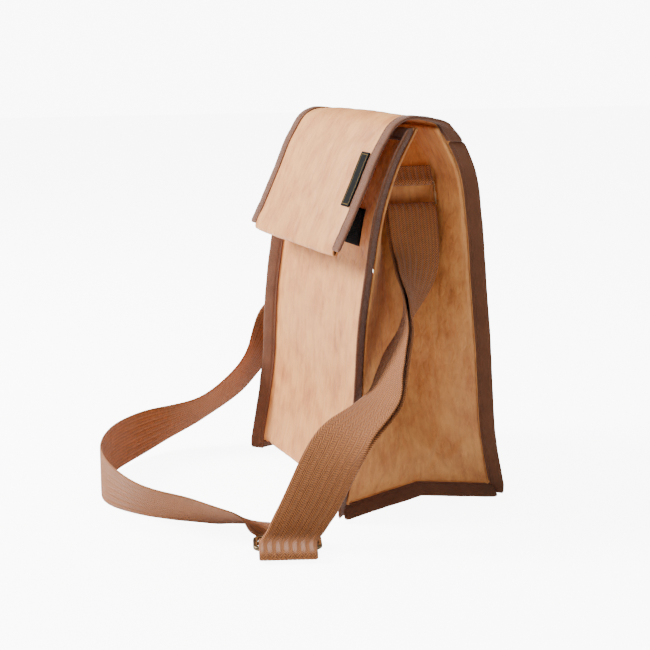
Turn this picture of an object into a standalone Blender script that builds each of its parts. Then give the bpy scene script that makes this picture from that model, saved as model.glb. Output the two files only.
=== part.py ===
"""A small fold-over shoulder bag in stiff kraft-paper cloth, as separate solids.

One strip of cloth makes the front, the bottom, the back and the flap.  Two side
gussets fold inward, and brown tape binds the seams.  A webbing strap runs from a
ring on the left gusset, through a slider, up to the right ring and back down.

Frame: metres, +X to the bag's right end, +Y to its back, +Z up.  The origin is on
the ground under the middle of the bag's bottom.
"""
import math

import bmesh
import bpy
import numpy as np

MM = 0.001
ROOT_HALF = math.sqrt(0.5)

# ---------------------------------------------------------------- driving sizes
BAG_WIDTH = 170 * MM            # between the two gusset corners, along X
BAG_DEPTH = 120 * MM            # at the bottom, along Y
BAG_HEIGHT = 274 * MM           # bottom edge to mouth, along Z
RISE = BAG_HEIGHT - 274 * MM    # what hangs from the mouth moves with it
SPREAD = BAG_WIDTH / 2 - 85 * MM    # what hangs from a gusset moves with it
CLOTH = 1.2 * MM                # cloth and lining together
SEAM_GAP = 0.35 * MM            # between any two pieces that touch

BINDING_WIDTH = 12 * MM         # folded seam tape
BINDING_THICKNESS = 3 * MM
BINDING_CLEARANCE = 0.9 * MM    # tape to the cloth corner
BINDING_OVERRUN = 4 * MM        # how far the bottom tape passes the corners
BINDING_TOP_DROP = 10 * MM      # the back tape stops this far under the fold

NOTCH_RISE = 8.5 * MM           # middle of the bottom, above its front and back edges
NOTCH_INSET = 4 * MM            # middle of the bottom side edge, inward

MOUTH_HEM_HEIGHT = 11 * MM
MOUTH_HEM_THICKNESS = 2.2 * MM

FLAP_HALF_WIDTH = 78 * MM + SPREAD    # cloth only, its side tape is outside this
FLAP_BINDING_WIDTH = 11.7 * MM
HOOK_LENGTH = 120 * MM
HOOK_THICKNESS = 1.5 * MM
LOOP_HEIGHT = 27 * MM
LOOP_CENTRE_Z = 211 * MM + RISE
LABEL_WIDTH = 11.5 * MM
LABEL_EDGE_MARGIN = 0.8 * MM    # label to the flap's side tape
LABEL_THICKNESS = 0.8 * MM

WEBBING_WIDTH = 40 * MM
WEBBING_THICKNESS = 1.8 * MM
TAB_THICKNESS = 1.5 * MM
TAB_STANDOFF = 0.85 * MM
TAB_TOP_Z = 254 * MM + RISE
TAB_SEAM_Z = 249 * MM + RISE    # under this the tab opens round the ring

RING_WIRE = 2.6 * MM
RING_SPAN = WEBBING_WIDTH + 2 * RING_WIRE + 0.8 * MM    # outside, along Y
RING_TOP_Z = 243 * MM + RISE    # the bar the ring turns on
RING_LOW_Z = 224 * MM + RISE    # the bar the strap goes over
RING_Y = 2.6 * MM
RING_CORNER = RING_WIRE / 2 + 0.3 * MM
RING_TILT = math.radians(15)     # outward, as the strap pushes it
RING_PLAY = 0.45 * MM           # webbing to ring wire

LOOP_REACH = 38 * MM            # strap loop's end, from the ring's upper bar

SLIDER_DEPTH = 24 * MM          # outside, across the bars
SLIDER_WIRE = 3.4 * MM
SLIDER_SPAN = WEBBING_WIDTH + 2 * SLIDER_WIRE + 1.2 * MM    # outside, along the bars
SLIDER_BAR = 2.6 * MM
SLIDER_CORNER = 4.5 * MM
SLIDER_PLACE = (124.0 * MM + SPREAD, -121.4 * MM)
SLIDER_HEADING = math.radians(-19.4)   # the strap's way through it, from +X
SLIDER_TIP = 27 * MM            # the strap's turn, in front of the slider's bar
CRUMPLE_LEAN = 150.0            # leaned over further than this, the strap crumples
SLIDER_BACK = 6 * MM            # flat strap behind the slider
SEWN_FIRST, SEWN_LAST = -20, 200       # degrees of the bar that the sewn end wraps
LAYERS_APART = 4.2 * MM         # middle to middle, between ring and slider
LAYER_GAP = 1.2 * MM            # ring's strap loop to the free run

# Side outlines of the bag, as (share of half the depth, share of the height).
FRONT_OUTLINE = ((1.0, 0.0), (0.83, 0.23), (0.75, 0.50), (0.66, 0.64),
                 (0.54, 0.79), (0.33, 0.92), (0.13, 1.0))
BACK_OUTLINE = ((1.02, 0.0), (0.89, 0.13), (0.77, 0.40), (0.68, 0.58),
                (0.60, 0.75), (0.46, 0.90), (0.21, 1.0))

# Where a gusset's fold is flat instead of sharp: (height, half of the flat, rounding).
GUSSET_FLAT = ((0 * MM, 4 * MM, 7 * MM), (140 * MM, 4 * MM, 7 * MM),
               (195 * MM + RISE, 16 * MM, 5 * MM), (222 * MM + RISE, 24 * MM, 2 * MM),
               (254 * MM + RISE, 24 * MM, 2 * MM), (268 * MM + RISE, 15 * MM, 3 * MM),
               (286 * MM + RISE, 6 * MM, 4 * MM))
GUSSET_COLUMNS = 21
GUSSET_FOLDS = (0.4, 0.6)        # shares of a gusset's columns at which it folds
GUSSET_EASE = 100 * MM          # height over which the inward fold grows

# The flap seen from its right end, (y, height above the mouth) from hinge to crease.
HINGE_Y = 13 * MM
FLAP_PATH = ((11.6 * MM, 2.6 * MM), (5.0 * MM, 5.6 * MM), (-4.0 * MM, 7.0 * MM),
             (-14.0 * MM, 7.0 * MM), (-22.0 * MM, 3.6 * MM), (-33.0 * MM, -11.0 * MM),
             (-48.0 * MM, -43.0 * MM), (-61.0 * MM, -71.0 * MM),
             (-68.0 * MM, -85.0 * MM))
FLAP_END_PATH = ((-68.4 * MM, -87.2 * MM), (-67.4 * MM, -89.4 * MM),
                 (-65.2 * MM, -89.0 * MM), (-63.8 * MM, -86.2 * MM),
                 (-60.2 * MM, -79.0 * MM))
HOOK_SPAN = (0.79, 0.905)       # share of the flap's length that the hook strip takes
LABEL_SPAN = (0.455, 0.76)      # share of the flap's length that the label takes

# Strap routes: place in millimetres and the turn of the strap's width about Z.
# A turn of 0 lays the width along +Y.  "lean" tips the width up, 90 is upright.
RIGHT_RUN = (
    (71.5, 2.0, 186.0, 12.0), (78.0, -3.5, 171.0, 30.0), (84.0, -9.0, 158.0, 50.0),
    (93.0, -18.0, 140.0, 68.0), (101.0, -27.0, 126.0, 79.0), (108.0, -34.5, 113.0, 86.0),
    (115.0, -43.0, 98.0, 95.0), (120.0, -56.0, 88.0, 108.0), (122.0, -71.0, 78.0, 125.0),
    (122.0, -83.0, 65.0, 142.0), (123.0, -92.0, 51.0, 152.0), (125.0, -100.0, 38.0, 158.0),
    (127.0, -108.0, 26.0, 160.6), (128.0, -114.0, 18.0, 160.6), (128.5, -118.5, 10.0, 160.6))
LEFT_RUN = (
    (-70.0, 2.0, 185.5, 8.0, 0.0), (-84.0, -5.0, 160.0, 20.0, 15.0),
    (-99.0, -17.0, 135.0, 35.0, 45.0), (-109.0, -33.0, 112.0, 50.0, 80.0),
    (-112.0, -50.0, 88.0, 65.0, 108.0), (-108.0, -75.0, 60.0, 70.0, 130.0),
    (-113.0, -106.0, 38.0, 74.0, 135.0), (-116.0, -136.0, 27.0, 70.0, 120.0),
    (-107.0, -164.0, 22.0, 60.0, 100.0), (-85.0, -190.0, 20.3, 50.0, 90.0),
    (-50.0, -209.0, 20.2, 40.0, 90.0), (-13.0, -217.0, 20.4, 35.0, 92.0),
    (14.0, -212.0, 19.6, 40.0, 108.0), (38.0, -200.0, 17.6, 55.0, 124.0),
    (66.0, -171.0, 14.6, 70.0, 136.0), (82.0, -151.0, 12.5, 68.0, 146.0),
    (87.0, -137.5, 9.8, 53.0, 153.0), (91.0, -127.5, 6.5, 32.0, 164.0),
    (97.0, -120.0, 3.4, 5.0, 175.0))


def clear_scene():
    """Remove every object, so that the part starts from nothing."""
    for item in list(bpy.data.objects):
        bpy.data.objects.remove(item, do_unlink=True)


def make_material(name, colour, roughness, metallic=0.0):
    """Return a Principled material with one colour."""
    material = bpy.data.materials.new(name)
    material.use_nodes = True
    shader = material.node_tree.nodes["Principled BSDF"]
    shader.inputs["Base Color"].default_value = (*colour, 1.0)
    shader.inputs["Roughness"].default_value = roughness
    shader.inputs["Metallic"].default_value = metallic
    return material


def smooth_curve(knots, at):
    """Interpolate rows of knots with a smooth curve; column 0 is the parameter."""
    knots = np.asarray(knots, float)
    key, values = knots[:, 0], knots[:, 1:]
    slopes = np.gradient(values, key, axis=0)
    at = np.clip(np.asarray(at, float), key[0], key[-1])
    left = np.clip(np.searchsorted(key, at, side="right") - 1, 0, len(key) - 2)
    span = (key[left + 1] - key[left])[:, None]
    share = ((at - key[left]) / (key[left + 1] - key[left]))[:, None]
    ease = share * share * (3 - 2 * share)
    start = share * (1 - share) ** 2 * span
    finish = -(share ** 2) * (1 - share) * span
    return (values[left] * (1 - ease) + values[left + 1] * ease
            + slopes[left] * start + slopes[left + 1] * finish)


def resample(points, count):
    """Return count points spread evenly by length along a smooth curve."""
    points = np.asarray(points, float)
    chord = np.r_[0, np.cumsum(np.linalg.norm(np.diff(points[:, :3], axis=0), axis=1))]
    dense = smooth_curve(np.c_[chord, points], np.linspace(0, chord[-1], 600))
    length = np.r_[0, np.cumsum(np.linalg.norm(np.diff(dense[:, :3], axis=0), axis=1))]
    even = np.linspace(0, length[-1], count)
    return np.column_stack([np.interp(even, length, column) for column in dense.T])


# ------------------------------------------------------------ the bag's outline
BOTTOM_Z = ((BINDING_CLEARANCE + BINDING_WIDTH) + BINDING_THICKNESS / 2) * ROOT_HALF
MOUTH_Z = BOTTOM_Z + BAG_HEIGHT
HALF_WIDTH = BAG_WIDTH / 2
HALF_DEPTH = BAG_DEPTH / 2


def outline_y(outline, z):
    """Return y on a side outline at each height z."""
    rows = [(BOTTOM_Z + rise * BAG_HEIGHT, out * HALF_DEPTH) for out, rise in outline]
    return smooth_curve(rows, np.atleast_1d(z))[:, 0]


def front_y(z):
    """Outer face of the front panel at each height."""
    return -outline_y(FRONT_OUTLINE, z)


def back_y(z):
    """Outer face of the back panel at each height."""
    return outline_y(BACK_OUTLINE, z)


def gusset_span(z):
    """Front and back y of a gusset's outer face at each height."""
    step = 1 * MM
    insets = []
    for edge in (front_y, back_y):
        slope = (edge(z + step) - edge(z - step)) / (2 * step)
        insets.append((2 * CLOTH + 3 * SEAM_GAP) * np.hypot(1, slope))
    return front_y(z) + insets[0], back_y(z) - insets[1]


GUSSET_LENGTH = float(np.ptp(np.array(gusset_span(BOTTOM_Z))))


def gusset_row(z, count):
    """Points (x inward, y, share of the cloth's width) across one gusset at height z."""
    y_front, y_back = (float(edge[0]) for edge in gusset_span(z))
    half = (y_back - y_front) / 2
    height, flats, rounds = np.array(GUSSET_FLAT).T
    flat = min(float(np.interp(z, height, flats)), half - SEAM_GAP)
    side = GUSSET_LENGTH / 2 - flat
    ease = min(max((z - BOTTOM_Z) / GUSSET_EASE, 0.0), 1.0)
    ease = ease * ease * (3 - 2 * ease)
    push = ease * math.sqrt(max(side ** 2 - (half - flat) ** 2, 0.0))
    middle = (y_front + y_back) / 2
    middle += (RING_Y - middle) * flat / max(flats)
    sharp = np.array([(0, y_front), (push, middle - flat), (push, middle + flat),
                      (0, y_back)])
    run = np.r_[0, np.cumsum(np.linalg.norm(np.diff(sharp, axis=0), axis=1))]
    samples = np.linspace(0, run[-1], 241)
    dense = np.column_stack([np.interp(samples, run, column) for column in sharp.T])
    reach = max(int(float(np.interp(z, height, rounds)) / (samples[1] - samples[0])), 1)
    before = 2 * dense[0] - dense[reach:0:-1]
    after = 2 * dense[-1] - dense[-2:-reach - 2:-1]
    padded = np.vstack([before, dense, after])
    kernel = np.ones(2 * reach + 1) / (2 * reach + 1)
    soft = np.column_stack([np.convolve(column, kernel, "valid") for column in padded.T])
    marks = np.interp(np.linspace(0, 1, count), (0, *GUSSET_FOLDS, 1), run)
    across = [np.interp(marks, samples, column) for column in soft.T]
    return np.column_stack([*across, marks / run[-1]])


def gusset_x(z):
    """X of the right gusset's outer face at its middle, at height z."""
    return HALF_WIDTH - float(gusset_row(z, 3)[1, 0])


# -------------------------------------------------------------------- builders
class Builder:
    """Makes the objects and keeps them in the part's collection."""

    def __init__(self, name):
        self.collection = bpy.data.collections.new(name)
        bpy.context.scene.collection.children.link(self.collection)

    def add(self, name, mesh, material, parent=None):
        """Link one object and give it its material and parent."""
        item = bpy.data.objects.new(name, mesh)
        item.data.materials.append(material)
        self.collection.objects.link(item)
        if parent is not None:
            item.parent = parent
            item.matrix_parent_inverse = parent.matrix_world.inverted()
        return item

    def axis(self, name, place):
        """Add an empty on a joint's axis."""
        empty = bpy.data.objects.new(name, None)
        empty.empty_display_size = 10 * MM
        empty.location = place
        self.collection.objects.link(empty)
        bpy.context.view_layer.update()
        return empty

    def sheet(self, name, points, thickness, material, parent=None, offset=-1.0):
        """Make a thickened sheet from a grid of points, shape (rows, columns, 3)."""
        rows, columns = points.shape[:2]
        build = bmesh.new()
        bmesh.ops.create_grid(build, x_segments=columns - 1, y_segments=rows - 1, size=1)
        build.verts.ensure_lookup_table()
        flat = points.reshape(-1, 3)
        for vertex, place in zip(build.verts, flat):
            vertex.co = place
        mesh = bpy.data.meshes.new(name)
        build.to_mesh(mesh)
        build.free()
        item = self.add(name, mesh, material, parent)
        solid = item.modifiers.new("Thickness", "SOLIDIFY")
        solid.thickness = thickness
        solid.offset = offset
        solid.use_even_offset = True
        return item

    def wire(self, name, points, diameter, material, parent=None, closed=False):
        """Make a round wire along a list of points."""
        curve = bpy.data.curves.new(name, "CURVE")
        curve.dimensions = "3D"
        curve.bevel_depth = diameter / 2
        curve.bevel_resolution = 2
        curve.use_fill_caps = not closed
        spline = curve.splines.new("POLY")
        spline.points.add(len(points) - 1)
        for knot, place in zip(spline.points, points):
            knot.co = (*place, 1.0)
        spline.use_cyclic_u = closed
        return self.add(name, curve, material, parent)


def ribbon_rows(places, across, width, square=1.0):
    """Return the two long edges of a flat strip; square is how far its ends are cut square."""
    along = np.gradient(places, axis=0)
    along /= np.linalg.norm(along, axis=1)[:, None]
    skew = np.sum(across * along, axis=1) * square
    across = across - skew[:, None] * along
    across /= np.linalg.norm(across, axis=1)[:, None]
    return np.stack([places - across * width / 2, places + across * width / 2], axis=1)


def width_direction(turn, lean):
    """Direction of a strap's width from its turn about Z and its lean, in degrees."""
    turn, lean = np.radians(turn), np.radians(lean)
    return np.column_stack([-np.sin(turn) * np.cos(lean), np.cos(turn) * np.cos(lean),
                            np.sin(lean)])


def rounded_rectangle(length, depth, corner, steps=3):
    """Points of a rounded rectangle about the origin, length along the first axis."""
    points = []
    for quarter in range(4):
        sign_a = 1 if quarter in (0, 3) else -1
        sign_b = 1 if quarter in (0, 1) else -1
        for step in range(steps + 1):
            angle = math.radians(90 * quarter + 90 * step / steps)
            points.append((sign_a * (length / 2 - corner) + corner * math.cos(angle),
                           sign_b * (depth / 2 - corner) + corner * math.sin(angle)))
    return points


# -------------------------------------------------------------------- the body
def heights(count, low=None, high=None):
    """Even heights from the bottom edge to the mouth."""
    return np.linspace(BOTTOM_Z if low is None else low,
                       MOUTH_Z if high is None else high, count)


def wall_grid(z, y, half_width, columns=3):
    """Grid of a panel that runs straight along X."""
    x = np.linspace(-half_width, half_width, columns)
    grid = np.zeros((len(z), columns, 3))
    grid[..., 0] = x
    grid[..., 1] = y[:, None]
    grid[..., 2] = z[:, None]
    return grid


def build_panels(build, cloth):
    """Front, back and bottom of the cloth strip."""
    hem_low = MOUTH_Z - MOUTH_HEM_HEIGHT
    z = heights(14, high=hem_low)
    build.sheet("front_panel", wall_grid(z, front_y(z), HALF_WIDTH), CLOTH, cloth)
    z = heights(15)
    build.sheet("back_panel", wall_grid(z, back_y(z), HALF_WIDTH)[:, ::-1], CLOTH, cloth)

    inset = CLOTH + 2 * SEAM_GAP
    above = BOTTOM_Z + 2 * CLOTH
    y = np.linspace(float(front_y(above)[0]) + inset, float(back_y(above)[0]) - inset, 9)
    peak = 1 - np.abs(np.linspace(-1, 1, len(y)))
    grid = np.zeros((len(y), 3, 3))
    side = HALF_WIDTH - inset - 2 * SEAM_GAP - NOTCH_INSET * peak
    grid[..., 0] = side[:, None] * np.array([1, 0, -1])
    grid[..., 1] = y[:, None]
    grid[..., 2] = (BOTTOM_Z + NOTCH_RISE * peak)[:, None]
    build.sheet("bottom_panel", grid, CLOTH, cloth)


def build_gussets(build, cloth):
    """The two sides, folded inward; flat round the strap tabs."""
    rows = []
    for z in np.sort(np.r_[heights(18), [height for height, _, _ in GUSSET_FLAT[2:-1]]]):
        rise = (MOUTH_Z - z) / BAG_HEIGHT
        row = gusset_row(z, GUSSET_COLUMNS)
        peak = 1 - np.abs(2 * row[:, 2] - 1)
        notch = NOTCH_INSET * rise ** 3 * peak
        lift = NOTCH_RISE * peak * rise ** 2
        rows.append(np.column_stack([HALF_WIDTH - row[:, 0] - notch, row[:, 1], z + lift]))
    right = np.array(rows)
    build.sheet("right_gusset", right, CLOTH, cloth)
    left = right[:, ::-1] * np.array([-1, 1, 1])
    build.sheet("left_gusset", left, CLOTH, cloth)


def tape_grid(corner, outward, width, thickness, clearance):
    """Middle surface of a tape that stands out from a line of corner points."""
    near = corner + outward * clearance
    far = corner + outward * (clearance + width)
    return np.stack([near, far], axis=1)


def build_bindings(build, tape):
    """Seam tapes along each gusset: front, bottom and back."""
    foot = BOTTOM_Z + (BINDING_THICKNESS / 2 + BINDING_CLEARANCE) * ROOT_HALF + SEAM_GAP
    runs = {}
    z = heights(13, low=foot)
    corner = np.column_stack([np.full_like(z, HALF_WIDTH), front_y(z), z])
    runs["front_binding"] = (corner, np.array([1, -1, 0]) * ROOT_HALF)
    z = heights(13, low=foot, high=MOUTH_Z - BINDING_TOP_DROP)
    corner = np.column_stack([np.full_like(z, HALF_WIDTH), back_y(z), z])
    runs["back_binding"] = (corner, np.array([1, 1, 0]) * ROOT_HALF)
    reach_front = float(front_y(BOTTOM_Z)[0]) - BINDING_OVERRUN
    reach_back = float(back_y(BOTTOM_Z)[0]) + BINDING_OVERRUN
    y = np.linspace(reach_front, reach_back, 13)
    middle, half = (reach_back + reach_front) / 2, (reach_back - reach_front) / 2
    peak = np.clip((1 - np.abs(y - middle) / (half - BINDING_OVERRUN)), 0, 1)
    corner = np.column_stack([HALF_WIDTH - NOTCH_INSET * peak, y,
                              BOTTOM_Z + NOTCH_RISE * peak])
    runs["bottom_binding"] = (corner, np.array([1, 0, -1]) * ROOT_HALF)
    for side, mirror in (("right", 1), ("left", -1)):
        for kind, (corner, outward) in runs.items():
            grid = tape_grid(corner, outward, BINDING_WIDTH, BINDING_THICKNESS,
                             BINDING_CLEARANCE) * np.array([mirror, 1, 1])
            build.sheet(f"{side}_{kind}", grid, BINDING_THICKNESS, tape, offset=0.0)


def build_mouth(build, tape, hook):
    """Hem of the front panel's top edge, and the loop strip under the flap."""
    low = MOUTH_Z - MOUTH_HEM_HEIGHT + SEAM_GAP
    z = heights(3, low=low)
    grid = wall_grid(z, front_y(z) + CLOTH - MOUTH_HEM_THICKNESS / 2,
                     HALF_WIDTH - BINDING_THICKNESS / 2)
    build.sheet("front_mouth_hem", grid, MOUTH_HEM_THICKNESS, tape, offset=0.0)
    z = np.linspace(LOOP_CENTRE_Z - LOOP_HEIGHT / 2, LOOP_CENTRE_Z + LOOP_HEIGHT / 2, 5)
    y = front_y(z) - SEAM_GAP - HOOK_THICKNESS
    build.sheet("loop_strip", wall_grid(z, y, HOOK_LENGTH / 2), HOOK_THICKNESS, hook)


# -------------------------------------------------------------------- the flap
def flap_line(path, count):
    """Middle line of a flap piece as (y, z)."""
    points = resample([(0.0, y, MOUTH_Z + z) for y, z in path], count)
    return points[:, 1], points[:, 2]


def offset_line(y, z, distance):
    """Move a (y, z) line sideways; positive is to the flap's inner side."""
    along_y, along_z = np.gradient(y), np.gradient(z)
    size = np.hypot(along_y, along_z)
    return y - along_z / size * distance, z + along_y / size * distance


def strip_along(y, z, low_x, high_x):
    """Grid of a strip between two X values along a (y, z) line."""
    grid = np.zeros((len(y), 2, 3))
    grid[..., 0] = np.array([low_x, high_x])
    grid[..., 1] = y[:, None]
    grid[..., 2] = z[:, None]
    return grid


def build_flap(build, cloth, tape, hook, label):
    """Everything that turns about the fold at the back of the mouth."""
    hinge = build.axis("flap_axis", (0, HINGE_Y, MOUTH_Z))
    y, z = flap_line(FLAP_PATH, 22)
    end_y, end_z = flap_line(FLAP_END_PATH, 6)
    build.sheet("flap_panel", strip_along(y, z, -FLAP_HALF_WIDTH, FLAP_HALF_WIDTH), CLOTH,
                cloth, hinge, offset=0.0)
    build.sheet("flap_turned_end",
                strip_along(end_y, end_z, -FLAP_HALF_WIDTH, FLAP_HALF_WIDTH), CLOTH,
                cloth, hinge, offset=0.0)
    near = FLAP_HALF_WIDTH + SEAM_GAP
    for side, mirror in (("right", 1), ("left", -1)):
        edge = strip_along(y, z, mirror * near, mirror * (near + FLAP_BINDING_WIDTH))
        build.sheet(f"{side}_flap_binding", edge, BINDING_THICKNESS, tape, hinge, offset=0.0)

    share = np.linspace(0, 1, 200)
    all_y, all_z = flap_line(FLAP_PATH, len(share))
    depth = CLOTH / 2 + SEAM_GAP + HOOK_THICKNESS / 2
    inner_y, inner_z = offset_line(all_y, all_z, depth)
    inside = (share >= HOOK_SPAN[0]) & (share <= HOOK_SPAN[1])
    grid = strip_along(inner_y[inside][::6], inner_z[inside][::6], -HOOK_LENGTH / 2,
                       HOOK_LENGTH / 2)
    build.sheet("hook_strip", grid, HOOK_THICKNESS, hook, hinge, offset=0.0)

    depth = CLOTH / 2 + SEAM_GAP + LABEL_THICKNESS / 2
    outer_y, outer_z = offset_line(all_y, all_z, -depth)
    inside = (share >= LABEL_SPAN[0]) & (share <= LABEL_SPAN[1])
    high_x = FLAP_HALF_WIDTH - LABEL_EDGE_MARGIN
    grid = strip_along(outer_y[inside][::8], outer_z[inside][::8], high_x - LABEL_WIDTH,
                       high_x)
    build.sheet("woven_label", grid, LABEL_THICKNESS, label, hinge, offset=0.0)


# ------------------------------------------------------- tabs, rings, strap loops
def ring_x():
    """X of the right ring's plane, from the gusset face behind the tab."""
    return gusset_x(RING_TOP_Z) + TAB_STANDOFF + TAB_THICKNESS + RING_PLAY + RING_WIRE / 2


def arc(centre_x, centre_z, radius, first, last, steps):
    """Points of an arc in the XZ plane, angles in degrees from +X to +Z."""
    angles = np.radians(np.linspace(first, last, steps))
    return [(centre_x + radius * math.cos(a), centre_z + radius * math.sin(a))
            for a in angles]


def bar_strip(path, mirror, centre_y, width=WEBBING_WIDTH):
    """Grid of webbing that follows an XZ path, its width along Y."""
    grid = np.zeros((len(path), 2, 3))
    grid[..., 0] = mirror * np.array([x for x, _ in path])[:, None]
    grid[..., 1] = centre_y + np.array([-1, 1]) * width / 2
    grid[..., 2] = np.array([z for _, z in path])[:, None]
    return grid


def tab_path():
    """The folded tab: down the gusset, round the ring's upper bar, up again."""
    inner = TAB_STANDOFF + TAB_THICKNESS / 2
    outer = inner + TAB_THICKNESS + SEAM_GAP
    radius = RING_WIRE / 2 + RING_PLAY + TAB_THICKNESS / 2
    middle_z = (TAB_TOP_Z + TAB_SEAM_Z) / 2
    path = [(gusset_x(z) + inner, z) for z in (TAB_TOP_Z, middle_z, TAB_SEAM_Z)]
    path += arc(ring_x(), RING_TOP_Z, radius, 180, 390, 10)
    path += [(gusset_x(z) + outer, z) for z in (TAB_SEAM_Z, middle_z, TAB_TOP_Z)]
    return path


def tilted(points):
    """Turn (x, z) points outward about the ring's upper bar by the ring's tilt."""
    cosine, sine = math.cos(RING_TILT), math.sin(RING_TILT)
    x0, z0 = ring_x(), RING_TOP_Z
    return [(x0 + (x - x0) * cosine - (z - z0) * sine,
             z0 + (x - x0) * sine + (z - z0) * cosine) for x, z in points]


def loop_path():
    """The strap's turn over the ring's lower bar, in two legs, as it hangs untilted."""
    radius = RING_WIRE / 2 + RING_PLAY + WEBBING_THICKNESS / 2
    low = RING_TOP_Z - LOOP_REACH
    x = ring_x()
    path = [(x - radius, low), (x - radius, (low + RING_LOW_Z) / 2)]
    path += arc(x, RING_LOW_Z, radius, 180, 0, 9)
    path += [(x + radius, (low + RING_LOW_Z) / 2), (x + radius, low)]
    return path


def build_rings(build, metal, webbing):
    """Tab, ring and strap loop on both gussets."""
    for side, mirror in (("right", 1), ("left", -1)):
        build.sheet(f"{side}_strap_tab", bar_strip(tab_path(), mirror, RING_Y),
                    TAB_THICKNESS, webbing, offset=0.0)
        axis = build.axis(f"{side}_ring_axis", (mirror * ring_x(), RING_Y, RING_TOP_Z))
        height = RING_TOP_Z - RING_LOW_Z + RING_WIRE
        outline = rounded_rectangle(RING_SPAN - RING_WIRE, height - RING_WIRE, RING_CORNER)
        middle = (RING_TOP_Z + RING_LOW_Z) / 2
        path = tilted([(ring_x(), middle + b) for _, b in outline])
        wire = [(mirror * x, RING_Y + a, z) for (a, _), (x, z) in zip(outline, path)]
        build.wire(f"{side}_ring", wire, RING_WIRE, metal, axis, closed=True)
        build.sheet(f"{side}_ring_strap_loop",
                    bar_strip(tilted(loop_path()), mirror, RING_Y),
                    WEBBING_THICKNESS, webbing, axis, offset=0.0)


# -------------------------------------------------------------- slider and strap
def slider_point(along, across, z):
    """World place from the slider's own directions: along the strap, across it."""
    cosine, sine = math.cos(SLIDER_HEADING), math.sin(SLIDER_HEADING)
    return (SLIDER_PLACE[0] + along * cosine - across * sine,
            SLIDER_PLACE[1] + along * sine + across * cosine, z)


def slider_across():
    """Unit direction along the slider's bars."""
    return np.array([-math.sin(SLIDER_HEADING), math.cos(SLIDER_HEADING), 0.0])


SLIDER_Z = WEBBING_THICKNESS + SEAM_GAP + SLIDER_WIRE / 2


def build_slider(build, metal, webbing):
    """Slider frame and bar, with the strap's sewn end round the bar."""
    axis = build.axis("slider_axis", slider_point(0, 0, SLIDER_Z))
    outline = rounded_rectangle(SLIDER_DEPTH - SLIDER_WIRE, SLIDER_SPAN - SLIDER_WIRE,
                                SLIDER_CORNER)
    wire = [slider_point(a, b, SLIDER_Z) for a, b in outline]
    build.wire("slider_frame", wire, SLIDER_WIRE, metal, axis, closed=True)
    reach = SLIDER_SPAN / 2 - SLIDER_WIRE - SEAM_GAP
    bar = [slider_point(0, share * reach, SLIDER_Z) for share in (-1, 0, 1)]
    build.wire("slider_bar", bar, SLIDER_BAR, metal, axis)

    radius = SLIDER_BAR / 2 + SEAM_GAP + WEBBING_THICKNESS / 2
    turn = [(radius * math.cos(a), SLIDER_Z + radius * math.sin(a))
            for a in np.radians(np.linspace(SEWN_FIRST, SEWN_LAST, 9))]
    places = np.array([slider_point(a, 0, z) for a, z in turn])
    across = np.tile(slider_across(), (len(places), 1))
    build.sheet("strap_sewn_end", ribbon_rows(places, across, WEBBING_WIDTH),
                WEBBING_THICKNESS, webbing, axis, offset=0.0)


def loop_end(mirror):
    """Where the strap goes on from the end of a ring's strap loop."""
    x, z = tilted([(ring_x(), RING_TOP_Z - LOOP_REACH - LAYER_GAP)])[0]
    return mirror * x, RING_Y, z


def placed_route(route):
    """Return a strap route in metres, moved with the gussets and with the mouth."""
    rows = np.array(route)
    rows[:, :3] *= MM
    rows[:, 0] += SPREAD * np.clip(rows[:, 0] / (60 * MM), -1, 1)
    high = np.clip((rows[:, 2] - 20 * MM) / (166 * MM), 0, 1)
    rows[:, 2] += RISE * high
    return rows


def build_layers(build, webbing):
    """The two layers of strap between the right ring and the slider."""
    rows = placed_route(RIGHT_RUN)
    start = loop_end(1)
    fine = resample(np.vstack([(*start, 0.0), rows]), 36)
    places, across = fine[:, :3], width_direction(fine[:, 3], 0 * fine[:, 3])
    along = np.gradient(places, axis=0)
    along /= np.linalg.norm(along, axis=1)[:, None]
    face = np.cross(across, along)
    face /= np.linalg.norm(face, axis=1)[:, None]
    share = np.linspace(0, 1, len(fine))
    loop_apart = RING_WIRE + 2 * RING_PLAY + WEBBING_THICKNESS
    apart = np.interp(share, (0, 0.25, 1), (loop_apart, LAYERS_APART, LAYERS_APART))
    apart += abs(RISE) / 50 * np.sin(np.pi * share)
    square = np.clip((1 - share) / 0.2, 0, 1)
    for name, side in (("strap_outer_layer", -0.5), ("strap_inner_layer", 0.5)):
        line = places + side * apart[:, None] * face
        grid = ribbon_rows(line, across, WEBBING_WIDTH, square)
        build.sheet(name, grid, WEBBING_THICKNESS, webbing, offset=0.0)


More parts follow.
